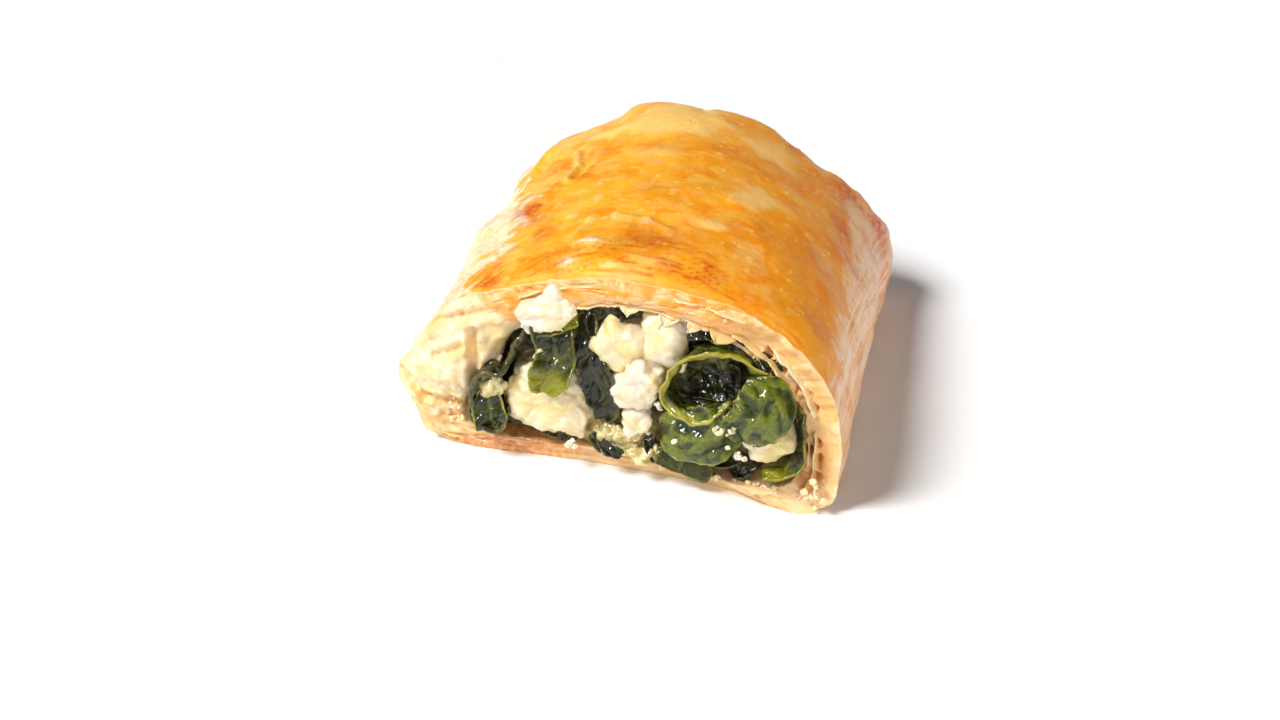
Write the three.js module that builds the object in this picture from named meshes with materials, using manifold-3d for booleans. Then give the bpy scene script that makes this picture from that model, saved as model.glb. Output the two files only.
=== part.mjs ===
// Half of a filled spinach and cheese pastry parcel, cut across its middle.
// Millimetres, +X across the cut face, +Y back from the cut to the closed end, +Z up.
// The flat baked underside lies on z = 0. "Local" sizes below are measured from the
// middle of the cut: x from its middle line and y back from the cut plane.
import * as THREE from 'three';
import { mergeVertices } from 'three/addons/utils/BufferGeometryUtils.js';
import Module from 'manifold-3d';

const wasm = await Module();
wasm.setup();

// ---------------------------------------------------------------- driving dimensions
const LENGTH = 76;            // from the cut to the closed end
const ORIGIN_X = 1.53;       // moves the local middle line so that the box is centred
const CUT_Y = -35.27;         // where the cut plane lies in the part's frame
const GAP = 0.3;              // clearance between pieces that touch

// Outside of the crust: half widths, crown height and roundness at the cut, halfway and the end.
const OUTSIDE = {
  left: [39.6, 35.0, 35.0],
  right: [36.9, 36.1, 35.1],
  crown: [36.9, 38.0, 33.4],
  widestLeft: 10.4,           // height of the widest line on each side
  widestRight: 8.0,
  topLeft: [1.85, 1.77],      // superellipse exponents at the cut and at the closed end
  topRight: [2.5, 1.58],
  baseLeft: 3.2,
  baseRight: 6.0,
  floor: 0,
  length: LENGTH,
  endRight: 8,                // how far in front of the end the rounding starts
  endLeft: 15,
  endPower: 2.8,
  endWidth: 0.73,             // share of the width left at the very end
};

// Inside of the crust, which the filling fills.
const INSIDE = {
  left: [27.6, 25.2, 23.0],
  right: [30.2, 28.8, 25.0],
  crown: [32.0, 32.6, 27.0],
  widestLeft: 8.0,
  widestRight: 8.0,
  topLeft: [1.75, 1.75],
  topRight: [2.1, 1.75],
  baseLeft: 3.4,
  baseRight: 4.0,
  floor: 3.0,
  length: LENGTH - 9,
  endRight: 10,
  endLeft: 14,
  endPower: 2.4,
  endWidth: 0.7,
};

// Swellings (+) and hollows (-) of the dough: angle round the section, place along
// the length, height, and the half widths of the swelling in degrees and millimetres.
const SWELLINGS = [
  { angle: 148, along: 30, height: 2.6, spread: 17, reach: 12 },
  { angle: 163, along: 6, height: 1.2, spread: 12, reach: 8 },
  { angle: 112, along: 66, height: 2.8, spread: 26, reach: 9 },
  { angle: 150, along: 60, height: 1.4, spread: 16, reach: 8 },
  { angle: 62, along: 62, height: -1.2, spread: 14, reach: 12 },
  { angle: 14, along: 70, height: 1.6, spread: 16, reach: 7 },
  { angle: 98, along: 8, height: 0.7, spread: 40, reach: 5 },
  { angle: 20, along: 30, height: -0.6, spread: 16, reach: 16 },
  { angle: 38, along: 75, height: -1.6, spread: 9, reach: 5 },
  { angle: 138, along: 73, height: -1.5, spread: 10, reach: 6 },
];

const AROUND = 42;            // points round each section
const RINGS = { outside: 20, inside: 7, front: 3 };
const RAGGED = 0.7;           // how far the cut edge of the crust wanders
const END_CLUSTER = 1.8;      // gathers the rings towards the closed end

const FILLING_SET_BACK = 1.6; // the loose filling lies this far behind the cut plane
const FILLING_RELIEF = 1.1;

const LEAF_THICKNESS = 1.2;
const LEAF_STEPS = { along: 7, across: 3 };

// Crumbled cheese: centre, half sizes, turn in the cut plane in degrees.
const CHEESE = {
  feta_rim: { at: [-14.4, 0.4, 28.9], half: [5.0, 3.6, 3.3], turn: 35 },
  feta_upper_left: { at: [-2.3, 2.4, 24.6], half: [4.6, 4.6, 4.6], turn: -20 },
  feta_upper_right: { at: [6.0, 2.8, 26.4], half: [4.6, 4.6, 5.2], turn: -10 },
  feta_middle: { at: [3.0, 0.9, 18.6], half: [4.9, 4.2, 5.4], turn: -24 },
  feta_drop: { at: [2.5, -0.1, 11.0], half: [2.4, 2.7, 3.2], turn: 0 },
  feta_lower_left: { at: [-13.0, 1.7, 10.6], half: [8.4, 5.4, 5.6], turn: -22 },
  feta_lower_right: { at: [24.4, 2.1, 10.4], half: [4.6, 4.4, 3.6], turn: 28 },
};

// Spinach leaves: points along the leaf, the direction of its width, the widths along it
// and how far its middle bulges out of the flat (positive towards the open side).
const X = [1, 0, 0];
const Y = [0, 1, 0];
const Z = [0, 0, 1];
const LEAVES = {
  leaf_fold_right: {
    spine: [[20.6, -1.4, 9.2], [22.6, -3.2, 13.0], [23.6, -3.0, 18.6], [22.6, -0.4, 23.6]],
    across: [0.96, 0.12, -0.3], widths: [6.5, 9.4, 8.6, 5.0], bulge: 1.3,
  },
  leaf_fold_left: {
    spine: [[19.2, -1.6, 11.4], [15.4, -3.4, 10.4], [11.6, -2.8, 9.6], [8.2, -0.8, 10.2]],
    across: [0.12, 0.1, 1], widths: [6.0, 8.2, 7.6, 4.6], bulge: 1.2,
  },
  leaf_curl_right: {
    spine: [[21.8, 0.6, 21.8], [18.4, 0.2, 26.0], [11.6, 0.0, 25.6], [6.8, -0.4, 20.2],
      [6.9, -0.6, 14.6], [11.0, -0.2, 13.4], [15.6, 0.2, 14.8]],
    across: Y, widths: [5.0, 6.4, 7.4, 7.6, 6.4, 5.0, 4.0], bulge: 0.5,
  },
  leaf_floor: {
    spine: [[13.4, -0.3, 8.6], [12.2, -2.2, 5.4], [10.4, -2.5, 2.4]],
    across: [1, 0.05, 0.07], widths: [9.6, 10.2, 8.6], bulge: 0.5,
  },
  leaf_right_wall: {
    spine: [[28.4, 0.4, 16.6], [29.2, -0.6, 11.6], [28.0, -1.3, 7.2], [24.6, -1.6, 5.2]],
    across: [0.55, -0.8, 0.1], widths: [2.6, 4.2, 4.4, 3.0], bulge: 0.5,
  },
  leaf_hanging: {
    spine: [[-11.6, 1.2, 28.6], [-11.6, -1.9, 26.0], [-11.2, -3.1, 20.6], [-10.8, -2.4, 14.6]],
    across: X, widths: [5.6, 6.6, 6.6, 4.4], bulge: 1.0,
  },
  leaf_strip: {
    spine: [[-7.0, 1.4, 27.0], [-6.6, -0.9, 20.6], [-4.2, -1.5, 13.0], [-2.2, -0.7, 5.6]],
    across: [1, 0, 0.18], widths: [2.8, 4.0, 4.2, 3.4], bulge: 0.7,
  },
  leaf_curl_left: {
    spine: [[-15.6, 0.4, 24.2], [-18.6, -0.2, 18.2], [-21.4, -0.8, 15.0], [-25.4, -0.9, 14.2],
      [-27.2, -0.9, 9.6], [-25.6, -0.9, 5.2], [-21.8, -0.8, 5.4], [-21.2, -0.6, 9.8]],
    across: Y, widths: [2.6, 3.2, 5.0, 6.4, 6.6, 6.2, 5.0, 3.6], bulge: 0.3,
  },
  leaf_top: {
    spine: [[-8.6, 1.6, 29.0], [-4.2, 0.6, 30.2], [1.2, 1.4, 30.6]],
    across: Z, widths: [1.8, 2.6, 1.8], bulge: 0.4,
  },
  leaf_scrap: {
    spine: [[17.4, 0.8, 6.0], [20.6, -0.6, 5.0], [23.6, 0.6, 6.2]],
    across: [0.1, 0.3, 1], widths: [2.4, 3.2, 2.2], bulge: 0.5,
  },
};

// ---------------------------------------------------------------- small helpers
const ramp = (t) => {
  const c = THREE.MathUtils.clamp(t, 0, 1);
  return c * c * (3 - 2 * c);
};

// A value that passes through three numbers at the start, middle and end of t = 0..1.
const through = ([a, b, c], t) => (
  a * (1 - t) * (1 - 2 * t) + 4 * b * t * (1 - t) + c * t * (2 * t - 1)
);

// A value between evenly spaced numbers at t = 0..1.
function between(values, t) {
  const place = THREE.MathUtils.clamp(t, 0, 1) * (values.length - 1);
  const i = Math.min(Math.floor(place), values.length - 2);
  return THREE.MathUtils.lerp(values[i], values[i + 1], ramp(place - i));
}

// Smooth unevenness between about -1 and 1.
const unevenness = (a, b, c) => (
  0.5 * Math.sin(1.7 * a + 0.9 * b + 2.3 * c)
  + 0.3 * Math.sin(3.1 * b - 1.3 * a + 0.7 * c + 1.1)
  + 0.2 * Math.sin(4.3 * c + 2.9 * a - 2.1 * b + 2.6)
);

const power = (value, exponent) => Math.sign(value) * Math.abs(value) ** exponent;

// ---------------------------------------------------------------- sections of the crust
// One point of a D-shaped section: flat below, arched above, closing towards the end.
function sectionPoint(form, angle, t, inset = 0) {
  const c = Math.cos(angle);
  const s = Math.sin(angle);
  const onLeft = ramp((1 - c) / 2);
  const width = through(c < 0 ? form.left : form.right, t) - inset;
  const crown = through(form.crown, t) - inset;
  const widest = THREE.MathUtils.lerp(form.widestRight, form.widestLeft, onLeft);
  const floor = form.floor + inset;
  const length = form.length - inset;
  const closing = THREE.MathUtils.lerp(form.endRight, form.endLeft, onLeft);
  const past = THREE.MathUtils.clamp((t * length - (length - closing)) / closing, 0, 1);
  const round = (1 - past ** form.endPower) ** (1 / form.endPower);
  const top = c < 0 ? form.topLeft : form.topRight;
  const exponent = 2 / (s < 0 ? (c < 0 ? form.baseLeft : form.baseRight)
    : THREE.MathUtils.lerp(top[0], top[1], t));
  const x = width * power(c, exponent) * (form.endWidth + (1 - form.endWidth) * round);
  const rise = Math.abs(s) ** exponent;
  const sink = 1.2;           // the base curve is cut off flat this far above its lowest point
  const z = s < 0
    ? Math.max(widest - (widest - floor + sink) * rise, floor)
    : widest + (crown - widest) * rise * round;
  return new THREE.Vector3(x, t * length, z);
}

// Pushes a point of the outside in or out by the swellings, leaving the underside flat.
function swell(point, angle) {
  const middle = new THREE.Vector3(0, point.y, OUTSIDE.widestRight);
  const outward = point.clone().sub(middle).normalize();
  const degrees = THREE.MathUtils.radToDeg(angle);
  let height = 0.35 * unevenness(point.x / 9, point.y / 8, point.z / 9);
  for (const bump of SWELLINGS) {
    const turn = (degrees - bump.angle) / bump.spread;
    const along = (point.y - bump.along) / bump.reach;
    height += bump.height * Math.exp(-turn * turn - along * along);
  }
  height *= ramp(point.z / 5);
  return point.addScaledVector(outward, height);
}

// Rings of points round one form, from the cut (or from the first t) to the closed end.
function rings(form, count, shape) {
  return Array.from({ length: count }, (_, i) => {
    const t = 1 - (1 - i / (count - 1)) ** END_CLUSTER;
    return Array.from({ length: AROUND }, (__, j) => shape(form, (2 * Math.PI * j) / AROUND, t));
  });
}

// ---------------------------------------------------------------- meshes
// A closed body through rings of equal length, with a fan over the first and last ring.
function bodyThroughRings(loops) {
  const count = loops[0].length;
  const points = loops.flat();
  const centre = (loop) => loop.reduce((sum, p) => sum.add(p), new THREE.Vector3()).divideScalar(count);
  points.push(centre(loops[0]), centre(loops.at(-1)));
  const index = [];
  for (let i = 0; i < loops.length - 1; i += 1) {
    for (let j = 0; j < count; j += 1) {
      const a = i * count + j;
      const b = i * count + ((j + 1) % count);
      index.push(a, b, b + count, a, b + count, a + count);
    }
  }
  const first = points.length - 2;
  const lastRing = (loops.length - 1) * count;
  for (let j = 0; j < count; j += 1) {
    const k = (j + 1) % count;
    index.push(first, k, j);
    index.push(first + 1, lastRing + j, lastRing + k);
  }
  return solidFrom(points, index);
}

// A manifold solid from points and triangles, turned right side out.
function solidFrom(points, index) {
  const geometry = new THREE.BufferGeometry().setFromPoints(points);
  geometry.setIndex(index);
  const merged = mergeVertices(geometry, 1e-5);
  const at = merged.getAttribute('position');
  const corner = [new THREE.Vector3(), new THREE.Vector3(), new THREE.Vector3()];
  const triangles = [];
  let volume = 0;
  const ids = merged.getIndex().array;
  for (let i = 0; i < ids.length; i += 3) {
    const [a, b, c] = [ids[i], ids[i + 1], ids[i + 2]];
    if (a === b || b === c || c === a) continue;
    [a, b, c].forEach((id, n) => corner[n].fromBufferAttribute(at, id));
    volume += corner[0].dot(corner[1].clone().cross(corner[2]));
    triangles.push(a, b, c);
  }
  if (volume < 0) triangles.reverse();
  return new wasm.Manifold(new wasm.Mesh({
    numProp: 3,
    vertProperties: new Float32Array(at.array),
    triVerts: new Uint32Array(triangles),
  }));
}

// The largest single body of a solid, so that a cut leaves no crumbs.
function mainBody(solid) {
  return solid.decompose().sort((a, b) => b.volume() - a.volume())[0];
}

// ---------------------------------------------------------------- crust and filling
function crustSolid() {
  const outside = rings(OUTSIDE, RINGS.outside, (form, angle, t) => {
    const point = swell(sectionPoint(form, angle, t), angle);
    const wander = RAGGED * unevenness(3 * angle, 1.3, 2 * Math.sin(angle));
    point.y += wander * (1 - ramp(t * 12));
    return point;
  });
  const inside = rings(INSIDE, RINGS.inside, (form, angle, t) => {
    const point = sectionPoint(form, angle, t);
    point.y += RAGGED * unevenness(2 * angle, 4.1, 3 * Math.cos(angle)) * (1 - ramp(t * 12));
    return point;
  });
  return bodyThroughRings([...outside.reverse(), ...inside]);
}

function fillingSolid() {
  const walls = rings(INSIDE, RINGS.inside, (form, angle, t) => {
    const point = sectionPoint(form, angle, t, GAP);
    point.y = Math.max(point.y, FILLING_SET_BACK);
    return point;
  });
  const centre = new THREE.Vector3(1, 0, 15);
  const front = Array.from({ length: RINGS.front }, (_, i) => {
    const share = (i + 1) / (RINGS.front + 1);
    return walls[0].map((edge) => {
      const point = edge.clone().lerp(centre, 1 - share);
      point.y = FILLING_SET_BACK + FILLING_RELIEF * unevenness(point.x / 3, share, point.z / 3);
      return point;
    });
  });
  return bodyThroughRings([...front, ...walls]);
}

// ---------------------------------------------------------------- cheese and leaves
// An uneven, slightly blocky lump of cheese; extra grows it for the pocket it lies in.
function cheeseSolid({ at, half, turn }, extra = 0) {
  const ball = new THREE.IcosahedronGeometry(1, 2);
  ball.deleteAttribute('normal');
  ball.deleteAttribute('uv');
  const merged = mergeVertices(ball, 1e-4);
  const position = merged.getAttribute('position');
  const rotation = new THREE.Matrix4().makeRotationY(THREE.MathUtils.degToRad(-turn));
  const points = Array.from({ length: position.count }, (_, i) => {
    const p = new THREE.Vector3().fromBufferAttribute(position, i);
    const blocky = (Math.abs(p.x) ** 3 + Math.abs(p.y) ** 3 + Math.abs(p.z) ** 3) ** (-1 / 3);
    const swing = 0.12 * unevenness(2 * p.x + at[0], 2 * p.y + at[2], 2 * p.z);
    const size = blocky * (1 + swing);
    p.set(p.x * (half[0] * size + extra), p.y * (half[1] * size + extra), p.z * (half[2] * size + extra));
    return p.applyMatrix4(rotation).add(new THREE.Vector3(...at));
  });
  return solidFrom(points, Array.from(merged.getIndex().array));
}

// A curved sheet along its spine; extra grows it all round for the pocket it lies in.
function leafSolid({ spine, across, widths, bulge }, extra = 0) {
  const curve = new THREE.CatmullRomCurve3(spine.map((p) => new THREE.Vector3(...p)));
  const side = new THREE.Vector3(...across).normalize();
  const steps = LEAF_STEPS.along * Math.ceil(spine.length / 4);
  const half = LEAF_THICKNESS / 2 + extra;
  const top = [];
  const bottom = [];
  for (let i = 0; i <= steps; i += 1) {
    const t = i / steps;
    const centre = curve.getPointAt(t);
    const tangent = curve.getTangentAt(t);
    centre.addScaledVector(tangent, t === 0 ? -extra : (t === 1 ? extra : 0));
    const normal = side.clone().cross(tangent).normalize();
    const width = tangent.clone().cross(normal).normalize();
    const reach = between(widths, t) / 2 + extra;
    for (let j = 0; j <= LEAF_STEPS.across; j += 1) {
      const u = (2 * j) / LEAF_STEPS.across - 1;
      const lift = bulge * (1 - u * u) + 0.3 * Math.sin(7 * t + 3 * u + spine[0][0]);
      const point = centre.clone().addScaledVector(width, u * reach).addScaledVector(normal, lift);
      top.push(point.clone().addScaledVector(normal, half));
      bottom.push(point.clone().addScaledVector(normal, -half));
    }
  }
  return solidFrom([...top, ...bottom], sheetTriangles(steps, LEAF_STEPS.across));
}

// Triangles of a closed sheet: its top grid, its bottom grid and the edge between them.
function sheetTriangles(rows, columns) {
  const stride = columns + 1;
  const under = (rows + 1) * stride;
  const index = [];
  const quad = (a, b, c, d) => index.push(a, b, c, a, c, d);
  for (let i = 0; i < rows; i += 1) {
    for (let j = 0; j < columns; j += 1) {
      const a = i * stride + j;
      quad(a, a + 1, a + stride + 1, a + stride);
      quad(under + a, under + a + stride, under + a + stride + 1, under + a + 1);
    }
    const left = i * stride;
    const right = left + columns;
    quad(left, left + stride, under + left + stride, under + left);
    quad(right, under + right, under + right + stride, right + stride);
  }
  for (let j = 0; j < columns; j += 1) {
    const near = j;
    const far = rows * stride + j;
    quad(near, under + near, under + near + 1, near + 1);
    quad(far, far + 1, under + far + 1, under + far);
  }
  return index;
}

// ---------------------------------------------------------------- assembly
const CRUST_LOOK = new THREE.MeshStandardMaterial({ color: 0xe2a04a, roughness: 0.5 });
const FILLING_LOOK = new THREE.MeshStandardMaterial({ color: 0x4d5c33, roughness: 0.45 });
const CHEESE_LOOK = new THREE.MeshStandardMaterial({ color: 0xf3ebd3, roughness: 0.6 });
const LEAF_LOOK = new THREE.MeshStandardMaterial({ color: 0x2c4a1c, roughness: 0.3 });

const group = new THREE.Group();
group.position.set(ORIGIN_X, CUT_Y, 0);

function addPiece(name, solid, material) {
  const mesh = solid.getMesh();
  const geometry = new THREE.BufferGeometry();
  geometry.setAttribute('position', new THREE.BufferAttribute(mesh.vertProperties, 3));
  geometry.setIndex(new THREE.BufferAttribute(mesh.triVerts, 1));
  geometry.computeVertexNormals();
  const piece = new THREE.Mesh(geometry, material);
  piece.name = name;
  group.add(piece);
}

// Each piece gives way to the ones placed before it, which lie in front of it.
let pockets = null;
function placePiece(name, solid, pocket, material) {
  addPiece(name, pockets ? mainBody(solid.subtract(pockets)) : solid, material);
  pockets = pockets ? pockets.add(pocket) : pocket;
}

for (const [name, leaf] of Object.entries(LEAVES)) {
  placePiece(name, leafSolid(leaf), leafSolid(leaf, GAP), LEAF_LOOK);
}
for (const [name, cheese] of Object.entries(CHEESE)) {
  placePiece(name, cheeseSolid(cheese), cheeseSolid(cheese, GAP), CHEESE_LOOK);
}
addPiece('crust', mainBody(crustSolid().subtract(pockets)), CRUST_LOOK);
addPiece('spinach_filling', mainBody(fillingSolid().subtract(pockets)), FILLING_LOOK);

export default group;
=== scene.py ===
# Looks of the cut half of a spinach and cheese pastry parcel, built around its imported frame.
# Shapes are worked out in millimetres in the crust's own axes: x across the cut,
# y back from the cut plane and z up from the surface that the half rests on.
import math

import bmesh
import bpy
import numpy as np
from mathutils import Matrix, Vector


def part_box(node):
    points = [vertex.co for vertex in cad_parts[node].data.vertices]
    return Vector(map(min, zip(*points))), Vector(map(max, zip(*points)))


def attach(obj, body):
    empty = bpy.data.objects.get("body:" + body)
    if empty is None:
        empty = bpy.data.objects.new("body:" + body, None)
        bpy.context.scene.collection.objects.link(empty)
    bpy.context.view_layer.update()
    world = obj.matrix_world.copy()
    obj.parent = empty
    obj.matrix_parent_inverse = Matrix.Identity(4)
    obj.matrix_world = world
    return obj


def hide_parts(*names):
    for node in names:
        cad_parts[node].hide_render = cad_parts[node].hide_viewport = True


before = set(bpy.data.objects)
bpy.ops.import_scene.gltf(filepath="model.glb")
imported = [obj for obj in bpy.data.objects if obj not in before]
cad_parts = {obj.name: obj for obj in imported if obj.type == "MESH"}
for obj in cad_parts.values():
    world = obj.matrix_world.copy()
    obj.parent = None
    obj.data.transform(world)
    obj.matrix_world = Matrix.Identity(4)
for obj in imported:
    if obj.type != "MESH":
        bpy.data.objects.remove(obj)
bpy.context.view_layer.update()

# ---- driving sizes
MM = 0.001
LENGTH = 76.0                                   # from the cut to the closed end
MIDDLE_X = 1.53                                 # the cut's middle line in the part's frame
SHIFT = np.array([MIDDLE_X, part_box("crust")[1].y / MM - LENGTH, 0.0])

# A D-shaped section. Three numbers are at the cut, the middle and the end, two at the cut and the end.
# left and right are half widths, crown the height, widest_ the height at which each side is widest.
# top_ and base_ are exponents of the curve above and below that height, floor the flat underside.
# end_right and end_left are the lengths over which it closes, end_width the share of width left there.
OUTSIDE = dict(
    left=(39.6, 35.0, 35.0), right=(36.9, 36.1, 35.1), crown=(36.9, 38.0, 33.4),
    widest_left=10.4, widest_right=8.0, top_left=(1.85, 1.77), top_right=(2.5, 1.58),
    base_left=3.2, base_right=6.0, floor=0.0, length=LENGTH,
    end_right=8.0, end_left=15.0, end_power=2.8, end_width=0.73,
)
INSIDE = dict(
    left=(27.6, 25.2, 23.0), right=(30.2, 28.8, 25.0), crown=(32.0, 32.6, 27.0),
    widest_left=8.0, widest_right=8.0, top_left=(1.75, 1.75), top_right=(2.1, 1.75),
    base_left=3.4, base_right=4.0, floor=3.0, length=LENGTH - 9.0,
    end_right=10.0, end_left=14.0, end_power=2.4, end_width=0.7,
)
SINK = 1.2                                      # how far the base curve is cut off flat

# Stretches of the section, in degrees from its right: torn leaves, the lip's top, the doughy roll.
RIGHT_SIDE, TOP_SIDE, LEFT_SIDE = (-14, 62), (62, 134), (134, 206)

# Stretches of the skin: two angles and how softly they end.
SKIN_TOP, SKIN_LEFT, SKIN_RIGHT = (24, 138, 8), (138, 200, 8), (-30, 26, 6)
EDGE_REACH = 4.0                                # how far back the ragged front edge moves the skin
END_LINE_WIDTH, END_LINE_HEIGHT = 0.12, 4.5     # the line that the closed end is drawn in to
OVERHANG, OVERHANG_AIM = 0.17, (-4, 0, 12)      # how far the left lip leans in over the filling
FLAT_BASE = 0.05                                # faces all below this height are the underside

# Swellings of the dough: angle round the section, place along it, height, spread, reach.
SWELLINGS = (
    (148, 30, 2.6, 17, 12), (163, 6, 1.2, 12, 8), (112, 66, 2.8, 26, 9), (150, 60, 1.4, 16, 8),
    (62, 62, -1.2, 14, 12), (14, 70, 1.6, 16, 7), (98, 8, 0.7, 40, 5), (20, 30, -0.6, 16, 16),
    (38, 75, -1.6, 9, 5), (138, 73, -1.5, 10, 6),
)
# Smaller dents and bumps that step the outline: the same five numbers.
DENTS = (
    (156, 66, -2.0, 5, 7), (128, 66, -2.1, 14, 7), (100, 68, -1.3, 14, 6), (92, 68, -0.6, 4, 6),
    (147, 35, -1.7, 6, 5), (157, 26, -1.0, 8, 4), (161, 13, -2.5, 8, 5), (162, 2, -2.9, 8, 4),
    (207, 0, -2.0, 12, 6), (52, 71, -0.9, 8, 6), (12, 71, -0.8, 10, 6), (-3, 52, -0.9, 8, 6),
    (70, 70, 0.5, 8, 6), (172, 3, -1.8, 6, 3.5), (150, 4, -1.2, 6, 4), (161, 21, -1.0, 5, 4),
    (190, 0, -1.4, 8, 5), (207, 0, -1.0, 12, 5), (152, 52, -0.6, 7, 6), (149, 63, -1.7, 6, 5),
    (120, 66, -0.8, 5, 6),
)
# Air bubbles under the baked skin: x, y, half width, half length, height, paleness (from 1 up, white).
BUBBLES = (
    (-9.9, 10.1, 2.7, 1.2, 0.45, 1.4), (-12.1, 4.2, 2.0, 1.6, 0.35, 1.2), (-4.4, 3.8, 2.2, 0.9, 0.3, 1.0),
    (-14.9, 20.3, 1.2, 1.1, 0.25, 0.9), (-11.9, 26.7, 0.9, 1.6, 0.2, 0.8), (-12.8, 32.4, 0.6, 0.6, 0.2, 1.2),
    (-16.5, 55.4, 3.0, 1.2, 0.4, 0.9), (-8.0, 55.6, 5.5, 5.0, 0.4, 0.5), (11.9, 31.6, 3.4, 2.4, 0.3, 0.45),
    (9.0, 21.2, 2.6, 1.8, 0.25, 0.6), (13.7, 60.4, 4.5, 3.5, 0.3, 0.5), (14.2, 36.0, 3.0, 2.4, 0.25, 0.6),
    (-5.0, 44.0, 5.0, 3.5, 0.3, 0.5), (2.0, 24.0, 3.5, 1.6, 0.2, 0.4), (19.0, 45.0, 4.0, 2.6, 0.25, 0.4),
)
# Scorched spots on the skin: x, y, radius, strength.
SCORCHES = (
    (-23.9, 27.1, 2.4, 1.9), (-22.0, 22.5, 2.0, 0.8), (-19.1, 16.2, 2.2, 0.9), (-24.9, 2.9, 2.0, 1.5),
    (-17.3, 37.2, 1.3, 1.0), (-12.4, 40.9, 2.0, 0.4), (4.0, 5.3, 2.2, 0.7), (10.1, 8.2, 1.2, 0.5),
    (11.4, 6.7, 2.6, 0.7), (27.1, 65.5, 3.4, 1.0), (27.5, 49.1, 2.4, 0.8), (33.1, 66.5, 2.6, 0.9),
    (31.6, 40.5, 1.7, 0.9), (15.4, 67.8, 1.9, 0.8), (24.3, 30.2, 4.5, 0.45), (-1.6, 12.0, 4.5, 0.6),
    (4.4, 15.7, 4.0, 0.4), (-3.5, 28.9, 4.5, 0.35), (-18.0, 49.0, 2.6, 0.4), (20.0, 56.0, 4.5, 0.35),
)
# Edges of torn or wrinkled skin that stand up, with a painted highlight along each crest: two ends, half
# width, height.
RIDGES = (
    ((-13.4, 12.9), (-11.5, 18.6), 0.8, 0.45), ((-11.5, 18.6), (-7.4, 19.8), 0.8, 0.35),
    ((-7.4, 19.8), (-1.9, 18.9), 0.7, 0.45), ((-1.9, 18.9), (2.2, 17.0), 0.8, 0.35),
    ((-20.8, 50.7), (-19.0, 43.5), 0.6, 0.5), ((-19.0, 43.5), (-19.4, 36.0), 0.6, 0.5),
    ((-20.5, 14.0), (-17.0, 18.0), 0.6, 0.4), ((-3.0, 6.4), (5.5, 6.0), 0.6, 0.35),
)
# Steps where the skin is torn back from the cut: place, wander, height, first and last angle, tint.
TEARS = (
    (1.3, 0.9, 0.22, 30, 168, 0.5), (3.0, 1.6, 0.16, 36, 150, 0.28), (5.6, 2.6, 0.10, 84, 146, 0.16),
)
# Where the golden bake gives way to pale dough, in degrees round the section along the length.
BAKE_ALONG = (0, 3, 6, 11, 15, 22, 28, 34, 40, 50, 60, LENGTH)
BAKE_LEFT = (136, 137, 139, 141, 136, 133, 134, 139, 145, 152, 158, 152)
BAKE_RIGHT = (20, 21, 23, 29, 30, 30, 29, 30, 31, 33, 36, 38)
# Creases of the folded dough: two ends, half width, depth.
CREASES = (
    ((-19, 68, 31), (-10, 76, 9), 2.2, 0.6), ((22, 69, 27), (12, 76, 9), 2.2, 0.6),
    ((-27, 76, 7.5), (27, 76, 7.0), 1.3, 0.7), ((-18.5, 38, 33.5), (-17.5, 49, 33.5), 0.9, 0.6),
    ((-29, 42, 24), (-27, 54, 27), 1.4, 0.9), ((-33, 14, 22), (-29, 40, 24), 1.6, 0.6),
    ((31, 70, 20), (33, 74, 6), 1.4, 0.8), ((-37, 4, 15), (-34, 24, 17), 1.4, 0.6),
    ((-30, 66, 17), (-24, 74, 8), 1.5, 0.8),
)


# ---- noise and small helpers
def unit(vectors):
    return vectors / np.maximum(np.linalg.norm(vectors, axis=-1, keepdims=True), 1e-9)


def picked(table, cell):
    """A number from 0 to 255 for each cell of a grid in space, drawn from a shuffled table."""
    x, y, z = np.moveaxis(cell & 255, -1, 0)
    return table[table[table[x] + y] + z]


class Noise:
    """Smooth gradient noise of three coordinates, about -1 to 1, the same on every run.

    A number added to the points, as below, takes another stretch of the same noise."""

    def __init__(self, seed):
        rng = np.random.default_rng(seed)
        self.table = np.tile(rng.permutation(256), 2)
        self.slopes = unit(rng.normal(size=(256, 3)))

    def __call__(self, points, scale=1.0):
        p = np.asarray(points, float) / scale
        cell = np.floor(p).astype(int)
        part = p - cell
        fade = part**3 * (part * (part * 6 - 15) + 10)
        total = np.zeros(p.shape[:-1])
        for corner in np.ndindex(2, 2, 2):
            slope = self.slopes[picked(self.table, cell + corner)]
            weight = np.prod(np.where(np.array(corner) == 1, fade, 1 - fade), axis=-1)
            total += weight * np.einsum("...k,...k", slope, part - corner)
        return total * 1.6

    def fractal(self, points, scale, octaves=3):
        return sum(self(points, scale / 2**k) / 2**k for k in range(octaves))


def cells(points, scale, seed):
    """Distance to the nearest and the second nearest of scattered points, and the nearest one's number."""
    rng = np.random.default_rng(seed)
    table = np.tile(rng.permutation(256), 2)
    jitter = rng.random((256, 3))
    p = np.asarray(points, float) / scale
    cell = np.floor(p).astype(int)
    first = np.full(p.shape[:-1], 9.0)
    second = first.copy()
    owner = np.zeros(p.shape[:-1], int)
    for step in np.ndindex(3, 3, 3):
        at = cell + np.array(step) - 1
        key = picked(table, at)
        gap = np.linalg.norm(at + jitter[key] - p, axis=-1)
        nearer = gap < first
        second = np.where(nearer, first, np.minimum(second, gap))
        owner = np.where(nearer, key, owner)
        first = np.where(nearer, gap, first)
    return first, second, owner


def ramp(value, low=0.0, high=1.0):
    """A smooth rise from 0 at low to 1 at high."""
    t = np.clip((np.asarray(value, float) - low) / (high - low), 0, 1)
    return t * t * (3 - 2 * t)


def bell(value, centre, spread):
    return np.exp(-(((np.asarray(value, float) - centre) / spread) ** 2))


def plateau(value, low, high, soft):
    """1 between low and high, fading to 0 over soft on both sides."""
    return ramp(value, low - soft, low + soft) * (1 - ramp(value, high - soft, high + soft))


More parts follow.
